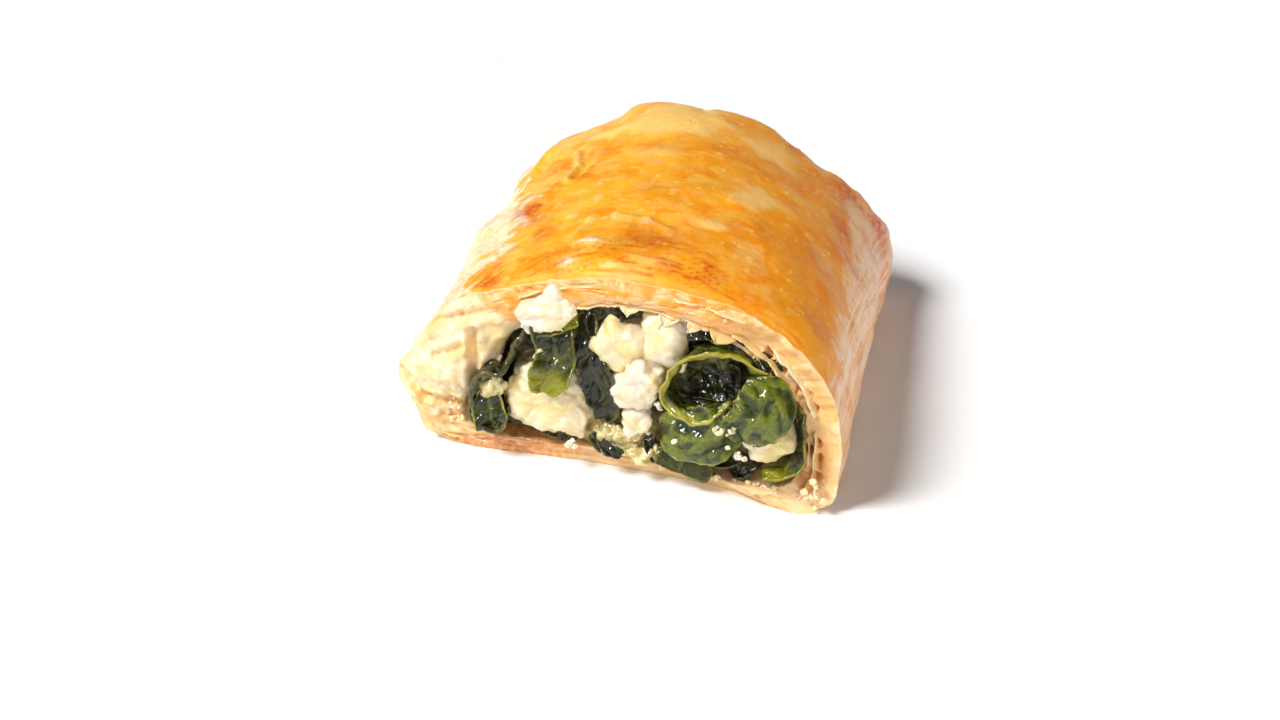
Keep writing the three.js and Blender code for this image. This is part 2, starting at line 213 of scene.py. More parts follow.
def through(values, t):
    """A smooth curve through values at the start, the middle and the end."""
    a, b, c = values
    return a * (1 - t) * (1 - 2 * t) + 4 * b * t * (1 - t) + c * t * (2 * t - 1)


def between(values, t):
    """Evenly spaced values with smooth steps between them."""
    values = np.asarray(values, float)
    place = np.clip(t, 0, 1) * (len(values) - 1)
    i = np.minimum(np.floor(place).astype(int), len(values) - 2)
    return values[i] + (values[i + 1] - values[i]) * ramp(place - i)


def pack(*coordinates):
    return np.stack(np.broadcast_arrays(*coordinates), -1).astype(float)


def signed_power(value, exponent):
    return np.sign(value) * np.abs(value) ** exponent


# ---- meshes and pieces
def outward(points, faces):
    """The faces of a closed mesh, turned so that they point out."""
    volume = 0.0
    for k in range(1, faces.shape[1] - 1):
        a, b, c = points[faces[:, 0]], points[faces[:, k]], points[faces[:, k + 1]]
        volume += np.einsum("ij,ij->i", a, np.cross(b, c)).sum()
    return faces if volume > 0 else faces[:, ::-1]


def added(name, data):
    """A new object in the scene that holds a mesh, a light or a camera."""
    holder = bpy.data.objects.new(name, data)
    bpy.context.scene.collection.objects.link(holder)
    return holder


def make_piece(name, points, faces, materials, stands_for=(), masks=None, chosen=None):
    """One mesh in metres that rides on the part, with float masks that its material reads."""
    mesh = bpy.data.meshes.new(name)
    corners = [face for part in faces for face in part.tolist()]
    mesh.from_pydata(((points + SHIFT) * MM).tolist(), [], corners)
    for key, values in (masks or {}).items():
        layer = mesh.attributes.new(key, "FLOAT", "POINT")
        layer.data.foreach_set("value", np.asarray(values, np.float32).ravel())
    for material in materials:
        mesh.materials.append(material)
    if chosen is not None:
        mesh.polygons.foreach_set("material_index", np.asarray(chosen, np.int32))
    mesh.polygons.foreach_set("use_smooth", np.ones(len(mesh.polygons), bool))
    mesh.update()
    piece = added(name, mesh)
    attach(piece, "root")
    if stands_for:
        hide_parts(*stands_for)
    return piece


def grid_normals(grid, closes):
    """Unit normals of a grid of points; closes says whether each row is a ring."""
    along = np.gradient(grid, axis=0)
    if closes:
        across = (np.roll(grid, -1, axis=1) - np.roll(grid, 1, axis=1)) / 2
    else:
        across = np.gradient(grid, axis=1)
    return unit(np.cross(across, along))


def ring_body(rings):
    """Points, quads and end fans of a closed body through rings of equal length."""
    rows, columns = rings.shape[:2]
    middles = rings[[0, -1]].mean(axis=1)
    points = np.concatenate([rings.reshape(-1, 3), middles])
    i, j = np.meshgrid(np.arange(rows - 1), np.arange(columns), indexing="ij")
    a = (i * columns + j).ravel()
    b = (i * columns + (j + 1) % columns).ravel()
    quads = np.stack([a, b, b + columns, a + columns], -1)
    j = np.arange(columns)
    k = (j + 1) % columns
    first = np.stack([np.full(columns, rows * columns), k, j], -1)
    last_ring = (rows - 1) * columns
    last = np.stack([np.full(columns, rows * columns + 1), last_ring + j, last_ring + k], -1)
    if outward(points, quads) is not quads:
        quads, first, last = quads[:, ::-1], first[:, ::-1], last[:, ::-1]
    return points, [quads, first, last]


def sheet_body(grid, thickness):
    """A closed thin sheet round a grid of points. Thickness is a number or a grid of numbers."""
    offset = grid_normals(grid, False) * np.asarray(thickness * np.ones(grid.shape[:2]))[..., None] / 2
    rows, columns = grid.shape[:2]
    points = np.concatenate([(grid + offset).reshape(-1, 3), (grid - offset).reshape(-1, 3)])
    under = rows * columns
    i, j = np.meshgrid(np.arange(rows - 1), np.arange(columns - 1), indexing="ij")
    a = (i * columns + j).ravel()
    top = np.stack([a, a + 1, a + columns + 1, a + columns], -1)
    rim = np.concatenate([
        np.arange(columns), np.arange(1, rows) * columns + columns - 1,
        (rows - 1) * columns + np.arange(columns - 2, -1, -1), np.arange(rows - 2, 0, -1) * columns,
    ])
    after = np.roll(rim, -1)
    side = np.stack([after, rim, rim + under, after + under], -1)
    return points, outward(points, np.concatenate([top, top[:, ::-1] + under, side]))


def joined(bodies):
    """Several meshes of the same kind of face as one list of points and one of faces."""
    points, faces, start = [], [], 0
    for body_points, body_faces in bodies:
        points.append(body_points)
        faces.append(body_faces + start)
        start += len(body_points)
    return np.concatenate(points), np.concatenate(faces)


# ---- the crust's form
def section_point(form, angle, t):
    """Points of the D-shaped section at angles in radians and shares t of the length."""
    c, s = np.cos(angle), np.sin(angle)
    on_left = ramp((1 - c) / 2)
    width = np.where(c < 0, through(form["left"], t), through(form["right"], t))
    crown = through(form["crown"], t)
    widest = form["widest_right"] + (form["widest_left"] - form["widest_right"]) * on_left
    closing = form["end_right"] + (form["end_left"] - form["end_right"]) * on_left
    past = np.clip((t * form["length"] - (form["length"] - closing)) / closing, 0, 1)
    rounding = (1 - past ** form["end_power"]) ** (1 / form["end_power"])
    (left_cut, left_end), (right_cut, right_end) = form["top_left"], form["top_right"]
    top = np.where(c < 0, left_cut + (left_end - left_cut) * t, right_cut + (right_end - right_cut) * t)
    base = np.where(c < 0, form["base_left"], form["base_right"])
    exponent = 2 / np.where(s < 0, base, top)
    x = width * signed_power(c, exponent) * (form["end_width"] + (1 - form["end_width"]) * rounding)
    rise = np.abs(s) ** exponent
    low = np.maximum(widest - (widest - form["floor"] + SINK) * rise, form["floor"])
    high = widest + (crown - widest) * rise * rounding
    return pack(x, t * form["length"], np.where(s < 0, low, high))


def unevenness(a, b, c):
    """Broad unevenness from sines, about -1 to 1."""
    return (
        0.5 * np.sin(1.7 * a + 0.9 * b + 2.3 * c)
        + 0.3 * np.sin(3.1 * b - 1.3 * a + 0.7 * c + 1.1)
        + 0.2 * np.sin(4.3 * c + 2.9 * a - 2.1 * b + 2.6)
    )


def with_bumps(height, bumps, degrees, y):
    """Heights with bumps added at their angles round the section and places along it."""
    for turn, along, rise, spread, reach in bumps:
        height = height + rise * bell(degrees, turn, spread) * bell(y, along, reach)
    return height


def swell(points, angle):
    """The outside pushed in and out by the dough's swellings, its underside left flat."""
    away = unit(points - pack(0, points[..., 1], OUTSIDE["widest_right"]))
    height = 0.35 * unevenness(points[..., 0] / 9, points[..., 1] / 8, points[..., 2] / 9)
    height = with_bumps(height, SWELLINGS, np.degrees(angle), points[..., 1])
    return points + away * (height * ramp(points[..., 2] / 5))[..., None]


OVER_DOME, UNDERNEATH = 330, 46                 # columns: close over the dome, wide apart underneath
DOME_START, DOME_END = -14, 194
AROUND = OVER_DOME + UNDERNEATH
ALONG = 196                                     # rings from the cut to the closed end
END_RINGS = 16
RIM_RINGS = 44
WALL_RINGS = 12
ANGLES = np.radians(np.concatenate([
    np.linspace(DOME_START, DOME_END, OVER_DOME, endpoint=False),
    np.linspace(DOME_END, DOME_START + 360, UNDERNEATH, endpoint=False),
]))
DEGREES = np.degrees(ANGLES)
TURNS = np.where(DEGREES > 270, DEGREES - 360, DEGREES)   # -90 to 270, so the right side is near 0

rough = Noise(3)
fine = Noise(11)
tear = Noise(29)


def on_side(low, high, soft=6.0):
    """How far each angle lies inside a stretch of the section, in degrees from the right."""
    return plateau(TURNS, low, high, soft)


def distance_to_line(points, start, end):
    """How far points lie from a straight piece between two ends."""
    start, end = np.array(start, float), np.array(end, float)
    line = end - start
    share = np.clip(((points - start) @ line) / (line @ line), 0, 1)
    return np.linalg.norm(points - start - share[..., None] * line, axis=-1)


def skin_relief(points, across):
    """Height of the baked skin's relief over the smooth form, and the masks that colour it."""
    x, y = points[..., 0], points[..., 1]
    turn = TURNS[None, :] + 0 * y
    surface = pack(across, y, 0 * y)            # distances over the skin
    top, left, right = (plateau(turn, *stretch) for stretch in (SKIN_TOP, SKIN_LEFT, SKIN_RIGHT))
    far = ramp(y, LENGTH - 12, LENGTH - 2)

    height = 0.22 * rough.fractal(points, 9.0, 2) + 0.10 * rough(points + 40, 3.0)
    height += left * (0.55 * rough.fractal(points + 9, 6.5, 3) + 0.1 * fine(points, 1.6))

    # skin torn back from the cut in ragged steps
    torn = np.zeros_like(y)
    for k, (edge, wander, step, low, high, light) in enumerate(TEARS):
        line = edge + wander * tear.fractal(pack(across, k * 17.0, 0), 8.0, 4)
        bare = (1 - ramp(y, line - 0.15, line + 0.15)) * plateau(turn, low, high, 6)
        height -= step * bare
        torn += light * bare

    # wrinkles along the lip, stretch lines down the sides
    lip = (1 - ramp(y, 5, 17)) * plateau(turn, 70, 150, 12)
    wrinkles = np.abs(tear(pack(across / 9, (y + 0.02 * across**2) / 1.5, 0 * y + 5)))
    height += 0.30 * lip * (0.3 - wrinkles)
    slanted = across + 0.10 * y
    strands = 1 - 2 * np.abs(fine(pack(slanted / 0.95, y / 17, 0 * y)))
    strands += 0.7 * (1 - 2 * np.abs(fine(pack(slanted / 2.3, y / 26, 0 * y + 9))))
    height += (0.13 * right + 0.05 * left) * strands

    # bubbles and pinhead blisters
    pale, white_spots = np.zeros_like(y), np.zeros_like(y)
    for bx, by, wide, long, rise, light in BUBBLES:
        lump = np.exp(-(((x - bx) / wide) ** 2 + ((y - by) / long) ** 2) ** 1.4) * top
        height += rise * lump
        if light < 1:
            pale += light * lump
        else:
            white_spots += light * lump
    first, _, owner = cells(surface, 1.7, 5)
    dots = ramp(0.34 - first, 0, 0.2) * (owner % 3 == 0) * plateau(turn, 26, 104, 12) * ramp(y, 2, 9)
    height += 0.13 * dots

    height = with_bumps(height, DENTS, turn, y)
    for start, end, half, rise in RIDGES:
        gap = distance_to_line(pack(x, y), start, end)
        height += (rise * bell(gap, 0, half) - 0.4 * rise * bell(gap, 2 * half, half)) * top
        # painted highlight: the crest of each raised edge painted paler
        pale += 0.5 * bell(gap, 0, half) * top
    for start, end, half, depth in CREASES:
        gap = distance_to_line(points, start, end)
        height -= depth * bell(gap, 0, half) - 0.35 * depth * bell(gap, 2.2 * half, half)

    # colour masks: how baked, how scorched, and the right of the section, where shade is painted
    drift = 8 * rough.fractal(points + 70, 6.0, 5)
    left_edge = np.interp(y, BAKE_ALONG, BAKE_LEFT)
    right_edge = np.interp(y, BAKE_ALONG, BAKE_RIGHT)
    baked = ramp(turn + drift, right_edge - 6, right_edge + 5)
    baked *= 1 - ramp(turn + drift, left_edge - 8, left_edge + 9)
    baked *= 1 - 0.55 * far * ramp(points[..., 2], 30, 12)
    mottle = rough.fractal(pack(x / 1.5, y, points[..., 2]) + 23, 9.0, 4)
    pale += 0.5 * ramp(mottle, 0.15, 0.75) * (turn < 110)
    scorched = 0.2 * ramp(-mottle, 0.05, 0.7) + 0.8 * lip * ramp(0.10 - wrinkles, 0, 0.08) * (y > 1.5)
    pale += 0.3 * ramp(2.6 + 1.4 * rough(surface, 3.0) - y, 0, 2) * plateau(turn, 64, 136, 8)
    pale += 0.35 * ramp(y + 8 * mottle, 36, 62) * plateau(turn, 62, 150, 16)
    for sx, sy, radius, strength in SCORCHES:
        spot = np.exp(-(((x - sx) ** 2 + (y - sy) ** 2) / radius**2))
        scorched += strength * spot * (0.75 + 0.5 * fine(surface, 1.1)) * (points[..., 2] > 12)
    scorched += 0.3 * bell(turn, right_edge + 4, 4) * ramp(y, 30, 55) + 0.25 * right * ramp(y, 30, 60)
    pale = np.maximum(np.clip(pale, 0, 0.88), white_spots)
    masks = dict(baked=baked, scorched=np.clip(scorched, 0, 1.3), pale=np.clip(pale, 0, 1.5),
                 torn=np.clip(torn, 0, 1), dots=dots, strands=right * ramp(strands, 0.6, 1.5),
                 painted_shade_right=1 - ramp(turn, 60, 110) * (1 - ramp(turn, 225, 250)))
    return height * ramp(points[..., 2], 0.2, 4), masks


def extended(rows, count):
    """Rows of a mask with the last one repeated."""
    return np.concatenate([rows, np.repeat(rows[-1:], count, axis=0)])


def crust_rings():
    """The rings of the outside from the cut to the middle of the closed end, with masks."""
    share = np.linspace(0, 1, ALONG)
    t = (1 - (1 - share) ** 1.25)[:, None] + 0 * ANGLES[None, :]
    angle = ANGLES[None, :] + 0 * t
    smooth = swell(section_point(OUTSIDE, angle, t), angle)
    step = np.linalg.norm(np.roll(smooth, -1, axis=1) - smooth, axis=-1)
    across = np.cumsum(step, axis=1)
    crown = int(np.argmin(np.abs(DEGREES - 90)))
    across -= across[:, crown:crown + 1]
    normal = grid_normals(smooth, True)
    normal *= np.sign((normal * (smooth - pack(0, smooth[..., 1], 12))).sum(-1).mean())
    normal[-3:] = normal[-4]
    height, masks = skin_relief(smooth, across)
    settled = ramp(t, 1.0, 0.985)
    rings = smooth + normal * (height * settled)[..., None]
    rings[..., 2] = np.maximum(rings[..., 2], 0)
    rings[0, :, 1] = 0
    rings[:, :, 1] += FRONT_EDGE * (1 - ramp(t * LENGTH, 0, EDGE_REACH))

    # the closed end's flat face, drawn in to a line
    last = rings[-1]
    target = last * (END_LINE_WIDTH, 1, 0) + (0, 0, END_LINE_HEIGHT)
    closing = np.linspace(0, 1, END_RINGS + 1)[1:, None, None]
    cap = last + (target - last) * closing
    tuck = 0.5 * np.sin(np.pi * closing[..., 0]) + 0.35 * rough(cap, 5.0) * closing[..., 0]
    for start, end, half, depth in CREASES[:3]:
        tuck -= depth * bell(distance_to_line(cap, start, end), 0, half) * ramp(closing[..., 0], 0, 0.3)
    cap[..., 1] += tuck
    masks = {key: extended(value, END_RINGS) for key, value in masks.items()}
    return np.concatenate([rings, cap]), masks


def front_edge():
    """How far the cut edge of the crust stands back from the cut plane at each angle."""
    ragged = (0.45 + 0.4 * on_side(50, 150, 8)) * tear.fractal(pack(DEGREES / 7, 3.0, 0), 1.0, 5)
    corner = -1.2 * bell(TURNS, -12, 16) - 3.4 * bell(TURNS, -56, 22)
    floor = 1.2 * bell(TURNS, -88, 12) + 1.2 * bell(TURNS, 270, 8) - 0.6 * plateau(TURNS, 200, 252, 10)
    rolled = 2.6 * on_side(134, 200, 10) + 0.9 * on_side(*TOP_SIDE, 8)
    return ragged + corner + floor + rolled


FRONT_EDGE = front_edge()
LAYER = 1.5                                     # one leaf of pastry at the cut, with its air
# Where sheets of dough fold over each other at the left of the cut: two ends (x, z), half width, depth.
DOUGH_FOLDS = (
    ((-39.0, 17.0), (-34.5, 21.0), 0.7, 0.8), ((-34.5, 21.0), (-28.5, 24.5), 0.7, 0.8),
    ((-28.5, 24.5), (-22.0, 27.5), 0.7, 0.6), ((-34.0, 8.0), (-27.5, 7.5), 0.6, 0.8),
    ((-34.0, 8.0), (-39.0, 11.0), 0.6, 0.7), ((-26.5, 22.5), (-25.5, 12.5), 0.7, 0.9),
    ((-30.5, 5.0), (-26.0, 2.5), 0.6, 0.7), ((-21.0, 21.0), (-24.5, 13.5), 0.7, 0.7),
    ((-33.0, 15.5), (-28.5, 19.0), 0.6, 0.6),
)


def rim_rings(outer, inner):
    """The cut through the crust: a rolled doughy lip on the left, torn leaves of pastry on the right."""
    r = np.linspace(0, 1, RIM_RINGS + 2)[1:-1, None]
    base = outer + (inner - outer) * r[..., None]
    flat = base * (1, 0, 1)
    thick = np.linalg.norm((inner - outer)[:, [0, 2]], axis=-1)[None, :]
    right, top, left = (on_side(*side, 8)[None, :] for side in (RIGHT_SIDE, TOP_SIDE, LEFT_SIDE))
    turn = TURNS[None, :] + 0 * r
    place = r * thick / (LAYER * (1 + 0.8 * right)) + 1.8 * rough(pack(turn / 14, r * 1.6, 0), 1.0)
    leaf = np.floor(place)
    share = place - leaf
    own = fine(pack(turn / 8, leaf * 5.3, 0))
    fringe = tear.fractal(pack(turn / 3.2, leaf * 9.1, 3.0), 1.0, 3)
    gap = bell(share, 0, 0.13) + bell(share, 1, 0.13)
    pocket = ramp(rough(pack(turn / 9, leaf * 0.8, 7.0)), 0.0, 0.5)
    flaky = right * ramp(r, 0.40, 0.55)
    depth = gap * (0.05 + flaky * 0.9 * pocket + top * 0.4 * pocket) * (1 - left)
    first, _, owner = cells(flat + 1.3 * rough(flat, 3.0)[..., None], 2.3, 12)
    hole = ramp(0.62 - first, 0, 0.25) * (owner % 3 == 0) * flaky * (1 - ramp(r, 0.88, 0.97))
    folds = 0.35 - np.abs(rough(pack(flat[..., 0] + 0.6 * flat[..., 2], flat[..., 2] / 1.6, 0), 5.0))
    grain = (0.5 - cells(flat, 0.8, 3)[0]) * ramp(rough(flat + 50, 4.0), -0.1, 0.3)
    lumps = 0.7 * rough.fractal(flat + 31, 6.0, 3) + 1.2 * folds + 0.4 * grain + 0.2 * fine(flat, 1.3)
    # painted shade along the walls of the creases where sheets of dough fold over each other
    fold_shade = 0 * r
    wandering = flat[..., [0, 2]] + 0.5 * rough(flat + 3, 3.0)[..., None]
    for start, end, half, dip in DOUGH_FOLDS:
        away = distance_to_line(wandering, start, end)
        lumps = lumps + dip * (bell(away, 0, half) - 0.5 * bell(away, 2.2 * half, half))
        fold_shade = fold_shade + bell(away, half, half)
    lumps = left * lumps
    edge = ramp(r, 0, 0.08)
    y = (depth + 2.0 * hole + lumps + 0.35 * (own + fringe) * (1 - left)) * edge
    y += right * (1.1 * ramp(r, 0.1, 0.8) + 0.5 * np.sin(np.pi * r)) + top * 0.8 * ramp(r, 0.5, 1.0)
    y -= left * 2.4 * np.sin(np.pi * r) ** 0.8 + top * 0.9 * np.sin(np.pi * r) ** 0.7
    points = base.copy()
    points[..., 1] += y
    toast = top * (1 - ramp(r + 0.25 * fringe, 0.5, 0.8))
    wet = plateau(turn, 226, 266, 8) * ramp(r, -0.2, 0.1)
    # painted shade in the recessed gaps between leaves of pastry, in their holes and, on the doughy left, in
    # its pits
    gap_and_pit_shade = np.clip(gap * (0.1 + pocket) * (0.2 + 0.6 * flaky) + hole, 0, 1) * (1 - left)
    gap_and_pit_shade = np.maximum(gap_and_pit_shade, 0.9 * left * ramp(grain, 0.12, 0.3))
    buttered = on_side(2, 58, 8)[None, :] * bell(r, 0.30, 0.24) + 0.8 * on_side(188, 214, 6)[None, :]
    masks = dict(leaf=0.5 + 0.5 * own, gap=gap_and_pit_shade, doughy=left, orange=buttered, toast=toast, wet=wet,
                 fold=np.clip(fold_shade, 0, 1) * left)
    return points, {key: mask + 0 * turn for key, mask in masks.items()}


def build_crust(materials):
    """One closed body: the outside from back to front, the cut, and the inside from front to back."""
    rings, skin = crust_rings()
    outer = rings[0]
    inner = section_point(INSIDE, ANGLES, 0 * ANGLES)
    inner[:, 1] = 0.35 * tear(pack(DEGREES / 7, 8.0, 0))
    inner[:, 1] += 0.6 * on_side(*RIGHT_SIDE, 8) + 1.2 * on_side(*LEFT_SIDE, 8)
    inner[:, 1] += FRONT_EDGE * (1 - on_side(RIGHT_SIDE[0], LEFT_SIDE[1], 8))
    lean = (OVERHANG * on_side(146, 172, 12))[:, None]
    overhang = inner + (pack(*OVERHANG_AIM) - inner) * (1, 0, 1) * lean
    rim, cut = rim_rings(outer, overhang)
    deep = np.linspace(0, 1, WALL_RINGS)[:, None] ** 1.7
    y = inner[None, :, 1] + (INSIDE["length"] - inner[None, :, 1]) * deep
    wall = section_point(INSIDE, ANGLES[None, :] + 0 * y, y / INSIDE["length"])
    wall[1:4] += 0.25 * rough(wall[1:4], 2.5)[..., None] * (1, 0, 1)
    body = np.concatenate([rings[::-1], rim, wall])
    points, faces = ring_body(body)
    middles = [0, 0]                            # the two points that close the body's ends
    behind = np.zeros(rim[..., 0].size + wall[..., 0].size)
    masks = {key: np.concatenate([rows[::-1].ravel(), behind, middles]) for key, rows in skin.items()}
    ahead = np.zeros(rings[..., 0].size)
    for key, rows in cut.items():
        masks[key] = np.concatenate([ahead, extended(rows, WALL_RINGS).ravel(), middles])
    quads = faces[0]
    in_skin = quads.min(axis=1) // AROUND < len(rings) - 1
    underneath = points[quads, 2].max(axis=1) < FLAT_BASE
    chosen = np.where(in_skin, np.where(underneath, 2, 0), 1)
    chosen = np.concatenate([chosen, np.zeros(AROUND, int), np.ones(AROUND, int)])
    return make_piece("crust_baked", points, faces, materials, ("crust",), masks, chosen)


# ---- loose leaves of pastry at the cut
# Each: angles it spans, share of the way from outside to inside, back, front, droop inwards, seed.
FLAKES = (
    ((14, 50), 0.52, 5.0, 0.3, 0.5, 2), ((-14, 12), 0.60, 5.0, 0.5, 0.4, 4),
    ((34, 62), 0.80, 5.0, 0.3, 0.3, 5), ((-6, 22), 0.86, 5.0, 0.9, -0.3, 6),
    ((60, 84), 0.20, 4.0, -0.5, 0.5, 7), ((96, 126), 0.22, 4.0, -0.4, 0.4, 3),
    ((66, 100), 0.48, 5.0, -0.4, 0.6, 8), ((60, 128), 0.92, 5.0, -0.1, 0.3, 10),
    ((204, 236), 0.30, 3.0, -0.9, 0.2, 14),
    ((288, 346), 0.35, 3.0, -1.8, 0.2, 15), ((300, 352), 0.75, 3.0, -1.3, -0.5, 16),
)
# Small torn flaps that hang over the filling: middle angle, width, length, droop, seed.
FLAPS = ((79, 4, 2.8, 3.0, 21), (71, 3, 1.6, 1.8, 22), (62, 5, 1.6, 1.2, 25), (92, 5, 1.6, 1.4, 24))
FLAKE_THICKNESS = 0.22
FLAKE_COLUMNS = 2.2                             # columns for each degree that a leaf spans


def section_line(turns, share, count):
    """Points between the outside and the inside at the cut, and the direction inwards."""
    angle = np.radians(np.linspace(*turns, count))
    outer = swell(section_point(OUTSIDE, angle, 0 * angle), angle)
    inner = section_point(INSIDE, angle, 0 * angle)
    return outer + (inner - outer) * share, unit((inner - outer) * (1, 0, 1))


def flake_grid(turns, share, back, front, droop, seed):
    """A loose leaf of pastry along the cut, with a torn front margin."""
    count = int(FLAKE_COLUMNS * abs(turns[1] - turns[0])) + 8
    line, inwards = section_line(turns, share, count)
    u = np.linspace(0, 1, count)[None, :]
    v = np.linspace(0, 1, 12)[:, None]
    hold = ramp(u, 0, 0.10) * (1 - ramp(u, 0.90, 1))
    arc = u * count / FLAKE_COLUMNS
    torn_line = tear.fractal(pack(arc / 7, seed * 3.1, 0), 1.0, 4)
    reach = back + (front - back) * (0.35 + 0.65 * hold) + 0.9 * torn_line
    grid = line[None] + 0 * v[..., None]
    grid[..., 1] = back + (reach - back) * v
    bend = droop * v**2 + 0.35 * rough(pack(arc / 6, v * 1.2, seed * 2.3)) * v
    return grid + inwards[None] * bend[..., None]


def flap_grid(middle, width, length, droop, seed):
    """A torn flap that narrows as it hangs over the filling."""
    line, inwards = section_line((middle - width, middle + width), 0.9, 30)
    u = np.linspace(-1, 1, 30)[None, :]
    v = np.linspace(0, 1, 14)[:, None]
    narrow = (1 - 0.75 * v**1.3)[..., None]
    centre = line.mean(axis=0)
    grid = centre + (line[None] - centre) * narrow
    hang = v * length * (1 - 0.5 * u**2) * (1 + 0.25 * tear(pack(u * 2.5, seed, 0)))
    grid[..., 1] = 1.4 - 2.6 * np.sin(v * 1.5) + 0.3 * rough(pack(u * 1.5, v, seed))
    return grid + inwards[None] * (droop / length * hang)[..., None]


def build_flakes(materials):
    """Loose leaves and torn flaps at the cut, as one piece."""
    bodies, tones = [], []
    grids = [flake_grid(*row) for row in FLAKES] + [flap_grid(*row) for row in FLAPS]
    for k, grid in enumerate(grids):
        body = sheet_body(grid, FLAKE_THICKNESS * (1 + 0.4 * fine(grid, 1.5)))
        body[0][:, 2] = np.maximum(body[0][:, 2], 0.02)
        bodies.append(body)
        tones.append(np.full(len(body[0]), (k * 0.37) % 1.0))
    points, faces = joined(bodies)
    masks = dict(leaf=np.concatenate(tones))
    return make_piece("crust_flakes", points, [faces], materials, (), masks)


# ---- the loose filling
CORE_AROUND, CORE_FRONT, CORE_DEEP = 200, 56, 12
CORE_BACK = 3.2                                 # how far the mash lies behind the cut plane
CORE_MIDDLE = np.array((1.0, 0.0, 15.0))


def build_core(materials):
    """The mash that fills the crust, lumpy at the cut and pale low in its middle."""
    angle = np.linspace(0, 2 * np.pi, CORE_AROUND, endpoint=False)
    deep = np.linspace(0, 1, CORE_DEEP)[:, None] ** 1.5
    y = CORE_BACK + (INSIDE["length"] - 0.6 - CORE_BACK) * deep + 0 * angle[None, :]
    wall = section_point(INSIDE, angle[None, :] + 0 * y, y / INSIDE["length"])
    wall[..., 0] -= 0.35 * np.sign(wall[..., 0]) * ramp(np.abs(wall[..., 0]), 0, 4)
    wall[..., 2] += np.where(wall[..., 2] > 12, -0.35, 0.3)
    share = np.linspace(0.01, 1, CORE_FRONT)[:, None, None] ** 0.8
    front = CORE_MIDDLE + (wall[0] - CORE_MIDDLE) * share
    front[..., 1] = CORE_BACK
    lumps = 1.5 * rough.fractal(front * (1, 0, 1), 5.0, 4)
    first, second, _ = cells(front * (1, 0, 1), 2.6, 8)
    lumps += 0.7 * (second - first) + 0.25 * fine(front, 0.9)
    rimward = ramp(share[..., 0], 0.9, 1.0)
    front[..., 1] += -lumps * (1 - rimward) - 4.0 * bell(front[..., 0], 1.5, 7) * ramp(front[..., 2], 12, 6)
    rings = np.concatenate([front[:-1], wall])
    points, faces = ring_body(rings)
    x, z = points[:, 0], points[:, 2]
    creamy = 1.3 * bell(x, 1, 10) * ramp(z, 13, 7) + 0.5 * ramp(rough.fractal(points + 5, 4.0, 3), 0.1, 0.7)
    creamy *= 1 - 0.8 * plateau(x, 8, 30, 3) * ramp(z, 12, 18)
    return make_piece("filling_mash", points, faces, materials, ("spinach_filling",),
                      dict(creamy=np.clip(creamy, 0, 1)))


# ---- crumbled cheese
# Centre, half sizes, turn in the cut plane in degrees, crumbliness, oiliness.
CHEESE = {
    "feta_rim": ((-14.4, 0.4, 28.9), (5.0, 3.6, 3.3), 35, 0.9, 0.1),
    "feta_upper_left": ((-1.6, 2.4, 24.6), (4.6, 4.6, 4.6), -20, 0.35, 0.75),
    "feta_upper_right": ((5.4, 2.8, 26.6), (4.6, 4.2, 5.0), -10, 0.3, 0.35),
    "feta_middle": ((2.2, 0.9, 18.6), (4.2, 4.0, 5.2), -24, 1.3, 0.1),
    "feta_drop": ((2.5, -0.1, 11.0), (2.2, 2.6, 3.0), 0, 0.7, 0.1),
    "feta_lower_left": ((-12.6, 1.9, 11.4), (8.0, 4.4, 6.0), -24, 0.8, 0.65),
    "feta_lower_right": ((24.9, 1.6, 11.4), (4.6, 4.4, 3.6), 28, 0.4, 0.7),
}


def ball(level):
    """Points on a unit ball and its triangles."""
    work = bmesh.new()
    bmesh.ops.create_icosphere(work, subdivisions=level, radius=1.0)
    points = np.array([v.co[:] for v in work.verts])
    faces = np.array([[v.index for v in f.verts] for f in work.faces])
    work.free()
    return points, faces


LARGE_BALL, MIDDLE_BALL, SMALL_BALL = ball(6), ball(5), ball(3)
LARGE_CRUMB = 5.3                               # half size from which cheese takes the large ball


def turned(points, degrees):
    """Points turned in the cut plane, anticlockwise as seen from the front."""
    a = math.radians(degrees)
    c, s = math.cos(a), math.sin(a)
    x, y, z = points.T
    return np.stack([c * x - s * z, y, s * x + c * z], -1)


def crumble(points, normal, amount, seed):
    """Cheese broken along uneven facets, with grains in the breaks."""
    at = points + seed * 7.7
    first, second, _ = cells(at + 0.5 * rough(at, 2.0)[..., None], 3.4, 4)
    facets = (second - first) * 1.1
    grain_first, _, _ = cells(at, 0.95, 6)
    grains = (0.5 - grain_first) * 0.55 * ramp(rough(at, 3.0), -0.2, 0.5)
    height = 0.9 * rough.fractal(at, 4.5, 3) + amount * (facets + grains) + 0.10 * fine(at, 0.8)
    return points + normal * (height - 0.35 * amount)[:, None], np.clip(0.5 + rough(at, 4.0), 0, 1)


def build_cheese(name, seed, materials):
    at, half, turn, amount, oil = CHEESE[name]
    points, faces = MIDDLE_BALL if max(half) < LARGE_CRUMB else LARGE_BALL
    blocky = (np.abs(points) ** 3).sum(axis=1) ** (-1 / 3)
    swing = 1 + 0.12 * unevenness(2 * points[:, 0] + at[0], 2 * points[:, 1] + at[2], 2 * points[:, 2])
    body = turned(points * half * (blocky * swing)[:, None], turn)
    body, rich = crumble(body, unit(turned(points / np.array(half), turn)), amount, seed)
    return make_piece(name + "_crumb", body + np.array(at), [faces], materials, (name,),
                      dict(rich=np.clip(rich - 0.5 + oil, 0, 1)))


